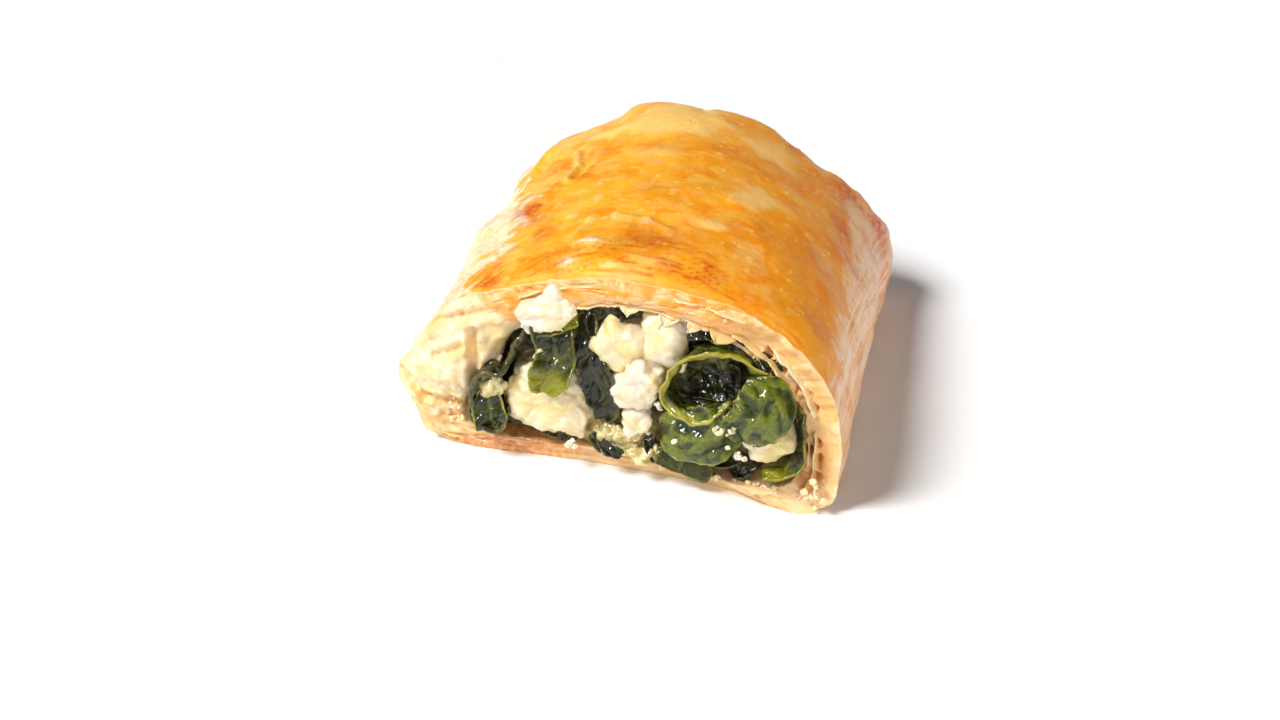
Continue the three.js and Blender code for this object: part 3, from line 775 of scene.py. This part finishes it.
# ---- spinach leaves
# Spine, direction of the width, widths along it, bulge, how far the front margin turns out,
# thickness and finish.
LEAVES = {
    "leaf_fold_right": (
        ((19.4, -1.4, 12.2), (21.6, -3.4, 15.2), (23.4, -3.2, 19.4), (22.6, -0.6, 23.8)),
        (0.96, 0.12, -0.3), (8.0, 10.8, 10.2, 6.4), 0.8, 0.0, 0.55, "fresh",
    ),
    "leaf_fold_left": (
        ((19.8, -1.6, 14.8), (15.6, -3.4, 12.8), (11.2, -3.0, 11.6), (6.9, -1.0, 12.6)),
        (0.12, 0.1, 1), (7.4, 10.6, 9.4, 4.8), 0.7, 0.0, 0.55, "fresh",
    ),
    "leaf_curl_right": (
        ((21.8, 0.8, 22.6), (18.6, 0.4, 25.8), (12.8, 0.0, 26.0), (8.7, -0.4, 22.2), (8.1, -1.0, 18.0),
         (10.8, -1.4, 16.6), (14.6, -1.4, 17.2), (17.4, -0.6, 19.0)),
        (0, 1, 0), (5.0, 6.0, 7.0, 7.4, 6.8, 6.4, 6.0, 4.4), 0.5, 1.9, 0.8, "curl",
    ),
    "leaf_floor": (
        ((12.8, -0.6, 10.0), (11.4, -2.2, 7.0), (10.4, -2.6, 3.2)),
        (1, 0.05, 0.1), (8.6, 9.4, 9.0), 0.3, 0.0, 0.5, "matte",
    ),
    "leaf_right_wall": (
        ((28.4, 0.6, 18.8), (29.6, -0.2, 14.6), (29.8, -0.8, 10.4), (27.8, -1.4, 7.0), (24.4, -1.8, 5.4)),
        (0.55, -0.8, 0.1), (2.6, 3.8, 4.4, 4.8, 4.2), 0.5, 0.0, 0.5, "lit",
    ),
    "leaf_hanging": (
        ((-12.6, 1.2, 29.0), (-12.6, -1.9, 26.4), (-11.9, -3.6, 22.0), (-12.4, -4.6, 18.4),
         (-13.0, -4.6, 15.0)),
        (1, 0, 0.12), (6.4, 8.2, 6.8, 6.8, 5.0), 1.2, 0.0, 0.5, "lit",
    ),
    "leaf_strip": (
        ((-7.6, 1.4, 29.0), (-7.0, -1.8, 23.0), (-4.6, -1.9, 17.6), (-3.0, -1.8, 13.0), (-3.2, -1.0, 9.6)),
        (1, 0, 0.18), (3.4, 4.8, 5.4, 5.2, 4.0), 1.1, 0.0, 0.7, "dark",
    ),
    "leaf_curl_left": (
        ((-16.6, 0.4, 24.6), (-19.0, -0.2, 19.2), (-20.6, -0.8, 16.4), (-23.6, -0.9, 15.4),
         (-24.9, -0.9, 11.0), (-23.8, -0.9, 6.4), (-20.8, -0.8, 5.8), (-19.8, -0.6, 10.0)),
        (0, 1, 0), (2.6, 3.2, 5.0, 6.4, 6.6, 6.2, 5.0, 3.6), 0.3, 0.5, 0.8, "dark",
    ),
    "leaf_top": (
        ((-8.6, 1.6, 29.0), (-4.2, 0.6, 30.2), (1.2, 1.4, 30.6)),
        (0, 0, 1), (2.2, 3.2, 2.2), 0.4, 0.0, 0.6, "dark",
    ),
    "leaf_scrap": (
        ((17.4, 0.8, 6.0), (20.6, -0.6, 5.0), (23.6, 0.6, 6.2)),
        (0.1, 0.3, 1), (2.4, 3.2, 2.2), 0.5, 0.0, 0.5, "dark",
    ),
}
LEAF_THINNING, SCRAP_THINNING = 0.45, 0.4       # share of the thickness lost at the margin
SCRAP_THICKNESS = 0.45
FIRST_SCRAP_SEED = 20


def spine_curve(spine, count):
    """Evenly spaced points on a smooth curve through the spine's points."""
    p = np.array(spine, float)
    p = np.concatenate([[2 * p[0] - p[1]], p, [2 * p[-1] - p[-2]]])
    pieces = []
    for a, b, c, d in zip(p, p[1:], p[2:], p[3:]):
        t = np.linspace(0, 1, 40, endpoint=False)[:, None]
        pieces.append(0.5 * (2 * b + (c - a) * t + (2 * a - 5 * b + 4 * c - d) * t**2
                             + (3 * b - a - 3 * c + d) * t**3))
    dense = np.concatenate(pieces + [p[-2:-1]])
    length = np.concatenate([[0], np.cumsum(np.linalg.norm(np.diff(dense, axis=0), axis=1))])
    even = np.linspace(0, length[-1], count)
    return np.stack([np.interp(even, length, dense[:, k]) for k in range(3)], -1), length[-1]


def jagged(along, spacing, seed):
    """A line of straight stretches between random heights, -1 to 1: a torn or cut margin."""
    rng = np.random.default_rng(int(seed * 97) + 5)
    knots = np.arange(-2, 40) * spacing
    return np.interp(along, knots, rng.uniform(-1, 1, len(knots)))


def leaf_grid(spine, across, widths, bulge, flare, seed):
    """The leaf's middle surface: cupped, crumpled and veined, with a torn margin."""
    centre, length = spine_curve(spine, max(90, 10 * len(spine) + 50))
    tangent = unit(np.gradient(centre, axis=0))
    normal = unit(np.cross(np.array(across, float), tangent))
    side = np.cross(tangent, normal)
    v = np.linspace(0, 1, len(centre))[:, None]
    u = np.linspace(-1, 1, 56)[None, :]
    along = v * length
    ends = (1 - np.abs(2 * v - 1) ** 13) ** (1 / 2.5)
    cut = np.where(u < 0, jagged(along, 3.1, seed), jagged(along, 2.7, seed + 0.5))
    margin = 1 + 0.19 * cut + 0.07 * tear.fractal(pack(along / 2, np.sign(u) * 3.0, seed), 1.0, 2)
    reach = between(widths, v) / 2 * (0.35 + 0.65 * ends) * margin
    sideways = u * reach
    lift = bulge * (1 - u**2) + 0.35 * np.abs(u) ** 3 * np.sin(along * 0.8 + 2.2 * np.sign(u) + seed)
    lift = lift + flare * (1 - 0.6 * v) * ramp(-u, 0.25, 1.0) ** 1.5
    wobble = 0.5 * rough(pack(along, sideways, seed), 3.0)
    middle_vein = bell(sideways + wobble, 0, 0.28)
    branches = np.abs(np.sin((along + 0.7 * np.abs(sideways) + 1.3 * wobble) * 0.8 + seed))
    side_veins = bell(branches, 0, 0.12) * ramp(np.abs(sideways), 0.2, 0.9)
    sheet = pack(along + 0.5 * sideways, sideways, seed * 4.0)
    crumple = 1.35 * (0.35 - np.abs(rough(sheet, 3.6))) + 0.45 * (0.35 - np.abs(fine(sheet, 1.7)))
    quilt = 0.12 * rough(sheet, 1.1) + 0.05 * fine(sheet, 0.6)
    lift = lift - 0.12 * middle_vein - 0.03 * side_veins + crumple + quilt
    grid = centre[:, None] + side[:, None] * sideways[..., None] + normal[:, None] * lift[..., None]
    edge = np.maximum(ramp(np.abs(u) + 0 * v, 0.90, 1), ramp(np.abs(2 * v - 1) + 0 * u, 0.98, 1))
    edge = edge * (0.25 + 0.75 * ramp(rough(sheet + 9, 4.0), -0.25, 0.35))
    if flare > 1:
        edge = np.maximum(edge, ramp(-u + 0.12 * rough(sheet, 2.0), 0.45, 0.8))
    vein = np.clip(middle_vein + 0.6 * side_veins, 0, 1)
    # the crumples' height is passed on for painted light on their crests and painted shade in their hollows
    return grid, dict(edge=edge, vein=vein, along=v + 0 * u, ridge_light_hollow_shade=ramp(crumple + quilt, 0.0, 0.55))


def leaf_body(spine, across, widths, bulge, flare, thickness, thinning, seed):
    """A leaf's closed sheet, thinner at its margin, with the masks of both of its faces."""
    grid, masks = leaf_grid(spine, across, widths, bulge, flare, seed)
    body = sheet_body(grid, thickness * (1 - thinning * masks["edge"]))
    return body, {key: np.tile(mask.ravel(), 2) for key, mask in masks.items()}


def build_leaf(name, seed, materials):
    *form, finish = LEAVES[name]
    (points, faces), masks = leaf_body(*form, LEAF_THINNING, seed)
    return make_piece(name + "_blade", points, [faces], [materials[finish]], (name,), masks)


# Small leaves between the larger pieces: spine, direction of the width, widths, bulge and finish.
SCRAPS = (
    (((10.6, 1.2, 17.6), (14.2, 0.6, 20.4), (18.8, 0.8, 20.8)), (0, 0.6, 1), (3.4, 5.8, 5.4), 0.8, "dark"),
    (((9.4, 1.2, 28.4), (13.6, 0.6, 29.8), (18.8, 0.8, 27.6)), (0, 0.5, 1), (2.4, 3.8, 2.6), 0.6, "dark"),
    (((13.4, -0.6, 7.4), (16.6, -1.4, 6.8), (20.6, -0.8, 7.8)), (0, 0.4, 1), (2.4, 3.2, 2.4), 0.6, "dark"),
    (((-16.6, 0.0, 24.8), (-13.4, -1.6, 27.4), (-9.0, -1.2, 29.2)),
     (0, 0.6, 1), (3.4, 4.4, 3.0), 0.7, "lit"),
    (((-5.0, -1.6, 7.0), (-2.4, -2.0, 5.6), (0.6, -1.8, 4.4)), (0, 0.4, 1), (2.0, 2.8, 1.8), 0.5, "dark"),
    (((4.6, -1.4, 8.4), (6.0, -1.8, 6.2), (6.6, -1.6, 3.8)), (1, 0.3, 0), (2.0, 2.6, 1.8), 0.5, "dark"),
    (((21.0, 1.2, 26.4), (24.0, 1.0, 24.6), (26.0, 1.0, 21.8)),
     (0.5, 0.6, 0.4), (2.4, 3.4, 2.4), 0.5, "dark"),
    (((-22.4, -2.6, 13.0), (-22.1, -3.6, 9.4), (-21.6, -3.0, 5.4)),
     (1, 0.1, 0), (4.2, 5.6, 4.6), 0.9, "curl"),
    (((-17.6, 0.4, 8.4), (-13.0, -0.6, 6.0), (-7.6, -0.6, 4.6)), (0, 0.5, 1), (1.2, 1.8, 1.4), 0.3, "dark"),
    (((18.0, -2.2, 16.4), (20.6, -2.8, 13.6), (22.0, -2.4, 10.8)),
     (1, 0.1, 0.5), (3.0, 4.6, 3.4), 0.9, "fresh"),
)


def build_scraps(finish, materials):
    """All the scraps of one finish as one piece."""
    scraps = [
        leaf_body(*form, 0.0, SCRAP_THICKNESS, SCRAP_THINNING, FIRST_SCRAP_SEED + k)
        for k, (*form, kind) in enumerate(SCRAPS) if kind == finish
    ]
    points, faces = joined([body for body, _ in scraps])
    masks = {key: np.concatenate([own[key] for _, own in scraps]) for key in scraps[0][1]}
    return make_piece("leaf_scraps_" + finish, points, [faces], [materials[finish]], (), masks)


# ---- crumbs
def scattered(count, size, middle, reach, seed):
    """Small uneven grains round a middle."""
    rng = np.random.default_rng(seed)
    points, faces = SMALL_BALL
    bodies = []
    for k in range(count):
        scale = size * rng.uniform(0.45, 1.25) * np.array([1, rng.uniform(0.6, 1), rng.uniform(0.7, 1)])
        grain = points * (1 + 0.45 * rough(points * 1.3 + k * 3.1))[:, None] * scale
        grain = turned(grain, rng.uniform(0, 360))
        bodies.append((grain + middle + reach * rng.normal(size=3), faces))
    return joined(bodies)


# Clusters of crumbs: middle, reach across, reach up, how many.
CHEESE_CRUMBS = (
    ((17.8, -4.2, 14.4), 2.2, 2.6, 16), ((20.8, -4.0, 9.6), 1.2, 1.0, 5), ((12.2, -4.0, 10.6), 2.6, 1.4, 8),
    ((3.2, -0.8, 9.6), 2.2, 1.6, 9), ((-8.4, -2.2, 5.0), 2.6, 1.2, 7), ((-14.6, -2.8, 21.6), 0.9, 1.4, 6),
    ((-11.6, -1.6, 30.4), 3.0, 1.0, 8), ((6.4, -1.6, 16.6), 0.8, 2.4, 5),
)
MASH_LUMPS = (
    ((-22.2, -1.8, 13.8), 1.8, 1.6, 14), ((-1.0, -0.6, 7.4), 5.0, 1.4, 12), ((4.6, -0.8, 5.6), 3.4, 1.4, 9),
)
PASTRY_CRUMBS = (
    ((24.0, -1.6, 2.6), 6.5, 0.9, 22), ((33.0, -2.2, 3.4), 1.6, 2.4, 14), ((8.0, 0.2, 2.4), 8.0, 0.7, 10),
    ((12.0, 0.2, 33.6), 5.0, 0.8, 8), ((-30.0, -0.2, 6.0), 4.0, 2.6, 10),
)


CRUMB_SPREAD_BACK = 0.25                        # how far crumbs vary in depth


def build_crumbs(name, clusters, size, seed, material, masks):
    """All the crumbs of one kind as one piece."""
    bodies = []
    for k, (middle, wide, high, count) in enumerate(clusters):
        reach = (wide / 2, CRUMB_SPREAD_BACK, high / 2)
        bodies.append(scattered(count, size, middle, reach, seed + k))
    points, faces = joined(bodies)
    masks = {key: np.full(len(points), value) for key, value in masks.items()}
    return make_piece(name, points, [faces], [material], (), masks)


# ---- materials
MIX_SHARE, MIX_FIRST, MIX_SECOND, MIX_RESULT = 0, 6, 7, 2    # the colour sockets of a Mix node


def srgb(red, green, blue):
    """A colour given as 0 to 255 display values, as the linear colour that a shader takes."""
    value = np.array([red, green, blue]) / 255
    linear = np.where(value <= 0.04045, value / 12.92, ((value + 0.055) / 1.055) ** 2.4)
    return (*linear.tolist(), 1.0)


class Paint:
    """A node material built up step by step. Its noise is in millimetres, its colours are display values."""

    def __init__(self, name, roughness=0.5, coat=0.0, coat_roughness=0.2, soft=0.0, radius=(1, 0.6, 0.4),
                 specular=0.5):
        self.material = bpy.data.materials.new(name)
        self.material.use_nodes = True
        self.tree = self.material.node_tree
        self.shader = self.tree.nodes["Principled BSDF"].inputs
        self.relief = None
        settings = {
            "Roughness": roughness, "Coat Weight": coat, "Coat Roughness": coat_roughness,
            "Specular IOR Level": specular, "Subsurface Weight": soft, "Subsurface Scale": MM,
            "Subsurface Radius": radius,
        }
        for key, value in settings.items():
            self.shader[key].default_value = value
        metres = self.node("TexCoord", {})["Object"]
        self.place = self.node("Mapping", {"Vector": metres, "Scale": (1 / MM, 1 / MM, 1 / MM)})["Vector"]

    def feed(self, value, socket):
        if isinstance(value, bpy.types.NodeSocket):
            self.tree.links.new(value, socket)
        else:
            socket.default_value = value

    def node(self, kind, inputs, **settings):
        """The outputs of a new node whose inputs are set to values or linked to other outputs."""
        node = self.tree.nodes.new("ShaderNode" + kind)
        for key, value in settings.items():
            setattr(node, key, value)
        for key, value in inputs.items():
            self.feed(value, node.inputs[key])
        return node.outputs

    def mask(self, key, amount=1.0):
        """One of the mesh's masks, scaled down to an amount."""
        value = self.node("Attribute", {}, attribute_name=key)["Fac"]
        return value if amount == 1 else self.times(value, amount)

    def noise(self, size, detail=3.0, stretch=None, distortion=0.0):
        place = self.place
        if stretch:
            place = self.node("Mapping", {"Vector": place, "Scale": stretch})["Vector"]
        inputs = {"Vector": place, "Scale": 1 / size, "Detail": detail, "Distortion": distortion}
        return self.node("TexNoise", inputs)["Fac"]

    def ramp(self, value, low, high, start=0.0, end=1.0):
        inputs = {"Value": value, "From Min": low, "From Max": high, "To Min": start, "To Max": end}
        return self.node("MapRange", inputs, interpolation_type="SMOOTHSTEP")["Result"]

    def math(self, operation, one, other):
        return self.node("Math", {0: one, 1: other}, operation=operation, use_clamp=True)["Value"]

    def times(self, one, other):
        return self.math("MULTIPLY", one, other)

    def ragged(self, value, noise, amount):
        """A value with noise added, so that a ramp over it has a ragged border."""
        return self.math("ADD", value, self.ramp(noise, 0.3, 0.7, -amount / 2, amount / 2))

    def mix(self, share, first, second):
        first, second = (srgb(*colour) if isinstance(colour, tuple) else colour for colour in (first, second))
        inputs = {MIX_SHARE: share, MIX_FIRST: first, MIX_SECOND: second}
        return self.node("Mix", inputs, data_type="RGBA")[MIX_RESULT]

    def bump(self, value, distance):
        """Adds relief of a height in millimetres, on top of what is there."""
        inputs = {"Strength": 1.0, "Distance": distance * MM, "Height": value}
        if self.relief is not None:
            inputs["Normal"] = self.relief
        self.relief = self.node("Bump", inputs)["Normal"]

    def finished(self, colour, roughness=None):
        """The material, once its colour, its relief and any uneven roughness are linked to the shader."""
        self.feed(colour, self.shader["Base Color"])
        self.feed(self.relief, self.shader["Normal"])
        if roughness is not None:
            self.feed(roughness, self.shader["Roughness"])
        return self.material


def baked_skin():
    """Golden, egg-washed pastry on the dome, pale dough on the sides, with painted shade on the right: deeper
    orange on the dome, peach on the side.
    """
    paint = Paint("baked_skin", coat=0.03, coat_roughness=0.3, soft=0.05, specular=0.2)
    clouds = paint.noise(6.5, 5.0, (0.9, 1, 1), 0.2)
    patches = paint.noise(3.0, 3.0, (0.8, 1, 1), 0.2)
    small = paint.noise(1.2, 4.0)
    golden = paint.mix(paint.ramp(clouds, 0.38, 0.60), (250, 156, 12), (254, 184, 42))
    golden = paint.mix(paint.ramp(patches, 0.46, 0.64, 0, 0.75), golden, (254, 200, 84))
    golden = paint.mix(paint.ramp(patches, 0.44, 0.32, 0, 0.3), golden, (244, 138, 4))
    # painted shade: the right of the dome, which faces away from the light, painted deeper orange
    golden = paint.mix(paint.mask("painted_shade_right", 0.55), golden, (238, 130, 6))
    golden = paint.mix(paint.ramp(paint.mask("pale"), 0.1, 0.9, 0, 0.75), golden, (253, 208, 122))
    golden = paint.mix(paint.ramp(paint.mask("pale"), 0.92, 1.25), golden, (254, 238, 212))
    dough = paint.mix(paint.ramp(small, 0.4, 0.65), (253, 234, 196), (248, 216, 164))
    dough = paint.mix(paint.ramp(patches, 0.5, 0.66, 0, 0.4), dough, (246, 204, 132))
    # the right side's colour: dough with painted shade, peach, with its white stretch lines
    side = paint.mix(paint.ramp(patches, 0.42, 0.62), (246, 196, 140), (238, 166, 98))
    side = paint.mix(paint.ramp(small, 0.5, 0.7, 0, 0.4), side, (250, 214, 170))
    side = paint.mix(paint.mask("strands", 0.7), side, (252, 226, 204))
    # painted shade: the right side and the underneath take the shaded side colour
    dough = paint.mix(paint.mask("painted_shade_right"), dough, side)
    body = paint.mix(paint.ramp(paint.ragged(paint.mask("baked"), patches, 0.7), 0.2, 0.8), dough, golden)
    scorched = paint.times(paint.mask("scorched"), paint.ramp(small, 0.25, 0.6, 0.5, 1.0))
    body = paint.mix(paint.times(scorched, 0.85), body, (204, 68, 10))
    body = paint.mix(paint.mask("torn", 0.3), body, (250, 180, 80))
    body = paint.mix(paint.mask("dots", 0.6), body, (254, 206, 120))
    paint.bump(paint.noise(0.9, 3.0, (0.35, 1, 0.7)), 0.06)
    paint.bump(small, 0.16)
    paint.bump(paint.noise(0.45, 2.0), 0.04)
    return paint.finished(body, paint.ramp(small, 0.3, 0.7, 0.36, 0.52))


def cut_dough():
    """Leaves of half-dry dough seen at the cut, pale with amber where the butter soaked in, with painted
    shade, orange-brown, in the gaps between them, in their holes and pits and along the folds of the doughy
    left.
    """
    paint = Paint("cut_dough", coat=0.08, soft=0.2, radius=(1.6, 0.9, 0.5))
    small = paint.noise(1.1, 4.0)
    broad = paint.noise(4.0, 4.0)
    leaf = paint.mix(paint.mask("leaf"), (251, 218, 164), (244, 182, 108))
    leaf = paint.mix(paint.ramp(broad, 0.45, 0.66, 0, 0.6), leaf, (250, 222, 178))
    leaf = paint.mix(paint.mask("orange", 0.6), leaf, (244, 180, 96))
    soft = paint.mix(paint.ramp(broad, 0.44, 0.60), (245, 224, 188), (243, 214, 152))
    soft = paint.mix(paint.ramp(small, 0.56, 0.70, 0, 0.7), soft, (242, 204, 108))
    soft = paint.mix(paint.mask("orange", 0.6), soft, (240, 176, 100))
    # painted shade, orange, along the creases of the folded dough
    soft = paint.mix(paint.mask("fold", 0.45), soft, (240, 190, 112))
    body = paint.mix(paint.mask("doughy"), leaf, soft)
    body = paint.mix(paint.ramp(small, 0.55, 0.8, 0, 0.35), body, (254, 238, 214))
    toasted = paint.ramp(paint.noise(1.8, 4.0, (0.4, 1, 1)), 0.34, 0.56, 0.45, 1.0)
    body = paint.mix(paint.times(paint.mask("toast"), toasted), body, (246, 158, 40))
    lines = paint.ramp(paint.noise(1.0, 3.0, (0.16, 1, 1)), 0.60, 0.68)
    body = paint.mix(paint.times(paint.mask("toast", 0.7), lines), body, (214, 104, 20))
    # painted shade: orange-brown in the gaps between leaves, in holes and in the pits of the doughy left
    body = paint.mix(paint.mask("gap", 0.6), body, (240, 170, 70))
    soaked = paint.mix(paint.ramp(small, 0.42, 0.66), (218, 146, 84), (240, 184, 128))
    body = paint.mix(paint.mask("wet"), body, soaked)
    paint.bump(small, 0.16)
    paint.bump(paint.noise(0.45, 2.0), 0.05)
    return paint.finished(body, paint.ramp(paint.mask("wet"), 0, 1, 0.5, 0.24))


def underside():
    """The flat baked base: light brown, speckled."""
    paint = Paint("baked_base", roughness=0.55)
    small = paint.noise(1.2, 3.0)
    body = paint.mix(paint.ramp(paint.noise(9.0, 4.0), 0.35, 0.7), (232, 178, 104), (196, 122, 56))
    body = paint.mix(paint.ramp(small, 0.6, 0.75, 0, 0.6), body, (150, 84, 34))
    paint.bump(small, 0.15)
    return paint.finished(body)


def loose_leaf():
    """Torn films of pastry, thin enough to glow."""
    paint = Paint("pastry_film", roughness=0.45, coat=0.1, soft=0.4, radius=(2.0, 1.2, 0.6))
    small = paint.noise(1.3, 4.0)
    body = paint.mix(paint.mask("leaf"), (252, 224, 176), (248, 196, 122))
    body = paint.mix(paint.ramp(small, 0.5, 0.75, 0, 0.4), body, (244, 180, 98))
    paint.bump(small, 0.10)
    return paint.finished(body)


def cheese():
    """Brined white cheese, moist and grainy, ivory where the oil soaked in."""
    paint = Paint("white_cheese", 0.42, coat=0.15, coat_roughness=0.3, soft=0.35, radius=(1.4, 1.1, 0.7))
    body = paint.mix(paint.ramp(paint.noise(3.5, 3.0), 0.42, 0.68), (246, 234, 213), (242, 223, 181))
    body = paint.mix(paint.mask("rich", 0.75), body, (238, 212, 136))
    paint.bump(paint.noise(0.9, 4.0), 0.14)
    paint.bump(paint.noise(0.35, 2.0), 0.05)
    return paint.finished(body)


def leaf(name, dark, light, margin, roughness, coat, tip=None):
    """A wilted spinach leaf, wet and crumpled, with painted light on its crests and painted shade in its
    hollows, lighter along its margin and, if lit, at its tip.
    """
    paint = Paint(name, roughness, coat=coat, coat_roughness=0.07, specular=0.2)
    small = paint.noise(0.9, 4.0)
    # painted light and shade: the light colour on the crests of the crumples, the dark colour in their
    # hollows
    ridge_light_shade = paint.ragged(paint.mask("ridge_light_hollow_shade"), paint.noise(3.0, 4.0), 0.5)
    body = paint.mix(paint.ramp(ridge_light_shade, -0.1, 1.1), dark, light)
    body = paint.mix(paint.ramp(small, 0.5, 0.7, 0, 0.4), body, dark)
    if tip:
        body = paint.mix(paint.ramp(paint.mask("along"), 0.62, 0.85), body, tip)
    body = paint.mix(paint.mask("vein", 0.15), body, margin)
    body = paint.mix(paint.mask("edge", 0.75), body, margin)
    paint.bump(paint.noise(1.4, 3.0), 0.45)
    paint.bump(small, 0.30)
    paint.bump(paint.noise(0.4, 2.0), 0.10)
    return paint.finished(body)


def mash():
    """Cooked spinach and softened cheese, wet and mottled."""
    paint = Paint("spinach_mash", roughness=0.3, coat=0.4, coat_roughness=0.1, soft=0.1)
    small = paint.noise(1.4, 4.0)
    green = paint.mix(paint.ramp(paint.noise(3.5, 3.0), 0.4, 0.62), (44, 44, 14), (104, 98, 44))
    cream = paint.mix(paint.ramp(small, 0.42, 0.62), (206, 184, 112), (250, 232, 176))
    paint.bump(small, 0.30)
    paint.bump(paint.noise(0.5, 2.0), 0.12)
    return paint.finished(paint.mix(paint.mask("creamy"), green, cream))


skin, dough, base, film = baked_skin(), cut_dough(), underside(), loose_leaf()
white, green_mash = cheese(), mash()
# each finish: the dark colour, used as painted shade in the hollows and in mottling, the light one as painted
# light on the crests, then margin, roughness, coat and tip
leaves = {
    "fresh": leaf("leaf_fresh", (32, 46, 2), (104, 112, 8), (190, 180, 66), 0.40, 0.8),
    "curl": leaf("leaf_curl", (30, 38, 2), (78, 82, 8), (190, 180, 70), 0.40, 0.7),
    "dark": leaf("leaf_dark", (20, 22, 2), (54, 54, 12), (100, 96, 30), 0.36, 0.8),
    "lit": leaf("leaf_lit", (32, 38, 2), (74, 78, 10), (150, 146, 40), 0.36, 0.8, (138, 136, 2)),
    "matte": leaf("leaf_matte", (56, 60, 28), (84, 86, 42), (156, 146, 66), 0.5, 0.05),
}


# ---- the pieces
build_crust([skin, dough, base])
build_flakes([film])
build_core([green_mash])
for number, name in enumerate(CHEESE):
    build_cheese(name, number, [white])
for number, name in enumerate(LEAVES):
    build_leaf(name, number, leaves)
for finish in ("dark", "lit", "fresh", "curl"):
    build_scraps(finish, leaves)
build_crumbs("mash_lumps", MASH_LUMPS, 1.5, 80, green_mash, {"creamy": 0.9})
build_crumbs("cheese_crumbs", CHEESE_CRUMBS, 0.5, 40, white, {"rich": 0.3})
build_crumbs("pastry_crumbs", PASTRY_CRUMBS, 0.55, 60, film, {"leaf": 0.2})


# ---- floor, light and camera
FLOOR_HALF, WALL_RADIUS, WALL_HEIGHT, WALL_SIDES = 3.0, 2.9, 0.6, 96


def staged(name, points, faces, tone, glow):
    """A plain matt backdrop piece that is not part of the model."""
    mesh = bpy.data.meshes.new(name)
    mesh.from_pydata(points, [], faces)
    piece = added(name, mesh)
    material = bpy.data.materials.new("pale_" + name)
    material.use_nodes = True
    shader = material.node_tree.nodes["Principled BSDF"]
    shader.inputs["Base Color"].default_value = (tone, tone, tone, 1)
    shader.inputs["Roughness"].default_value = 0.9
    shader.inputs["Specular IOR Level"].default_value = 0.1
    shader.inputs["Emission Color"].default_value = (1, 1, 1, 1)
    shader.inputs["Emission Strength"].default_value = glow
    mesh.materials.append(material)
    return piece


def build_floor():
    """A pale floor and, far round it, a low white wall that neither lights nor shades the part."""
    corners = ((-1, -1), (1, -1), (1, 1), (-1, 1))
    staged("floor", [(FLOOR_HALF * x, FLOOR_HALF * y, 0) for x, y in corners], [(0, 1, 2, 3)], 0.98, 0.0)
    turns = np.linspace(0, 2 * np.pi, WALL_SIDES, endpoint=False)
    ring = [(WALL_RADIUS * math.cos(a), WALL_RADIUS * math.sin(a)) for a in turns]
    points = [(x, y, z) for z in (0, WALL_HEIGHT) for x, y in ring]
    after = [(k + 1) % WALL_SIDES for k in range(WALL_SIDES)]
    faces = [(k, after[k], WALL_SIDES + after[k], WALL_SIDES + k) for k in range(WALL_SIDES)]
    wall = staged("wall", points, faces, 0.9, 1.0)
    wall.visible_diffuse = False
    wall.visible_glossy = False
    wall.visible_shadow = False


# Lights: kind, name, place in metres, power, size (degrees for the sun), the rays that don't see it.
LIGHTS = (
    ("SUN", "key", (-0.66, -0.38, 0.90), 3.75, 22, ()),
    ("AREA", "low_fill", (0.55, -0.85, 0.13), 4.6, 0.6, ("glossy",)),
    ("AREA", "side_fill", (1.0, -0.15, 0.10), 2.8, 0.5, ("glossy",)),
    ("AREA", "glint", (-0.22, -0.62, 0.50), 6.0, 0.12, ("diffuse",)),
)
LIT_POINT = Vector((0, 0, 0.02))
SKY_STRENGTH = 0.09


def lamp(kind, name, place, power, size, unseen):
    """A light that shines at the middle of the part."""
    light = bpy.data.lights.new(name, kind)
    light.energy = power
    if kind == "SUN":
        light.angle = math.radians(size)
    else:
        light.shape = "DISK"
        light.size = size
    holder = added(name, light)
    holder.location = place
    holder.rotation_euler = (LIT_POINT - Vector(place)).to_track_quat("-Z", "Y").to_euler()
    for kind_of_ray in unseen:
        setattr(holder, "visible_" + kind_of_ray, False)


def build_light():
    for row in LIGHTS:
        lamp(*row)
    world = bpy.data.worlds.new("studio")
    world.use_nodes = True
    sky = world.node_tree.nodes["Background"].inputs
    sky["Color"].default_value = (1, 1, 1, 1)
    sky["Strength"].default_value = SKY_STRENGTH
    bpy.context.scene.world = world


# The view: which way it looks, how far off, and how far the aim lies from the cut's middle.
AZIMUTH, ELEVATION, ROLL = (math.radians(angle) for angle in (9.8, 33.0, 4.7))
DISTANCE = 0.500
CUT_MIDDLE = Vector((SHIFT + (0, 0, 18.0)) * MM)
AIM_RIGHT, AIM_UP = 0.0023, 0.0034
LENS, SENSOR = 85.0, 36.0


def build_camera():
    level = Vector((math.cos(AZIMUTH), math.sin(AZIMUTH), 0))
    ahead = Vector((-math.sin(AZIMUTH), math.cos(AZIMUTH), 0))
    forward = ahead * math.cos(ELEVATION) - Vector((0, 0, math.sin(ELEVATION)))
    raised = level.cross(forward)
    right = level * math.cos(ROLL) + raised * math.sin(ROLL)
    up = raised * math.cos(ROLL) - level * math.sin(ROLL)
    eye = CUT_MIDDLE - forward * DISTANCE
    aim = (CUT_MIDDLE + right * AIM_RIGHT + up * AIM_UP - eye).normalized()
    right = aim.cross(up).normalized()
    turn = Matrix((right, right.cross(aim), -aim)).transposed()
    data = bpy.data.cameras.new("camera")
    data.lens = LENS
    data.sensor_width = SENSOR
    data.clip_start = 0.01
    camera = added("camera", data)
    camera.matrix_world = Matrix.Translation(eye) @ turn.to_4x4()
    bpy.context.scene.camera = camera


build_floor()
build_light()
build_camera()
bpy.context.scene.view_settings.view_transform = "Standard"
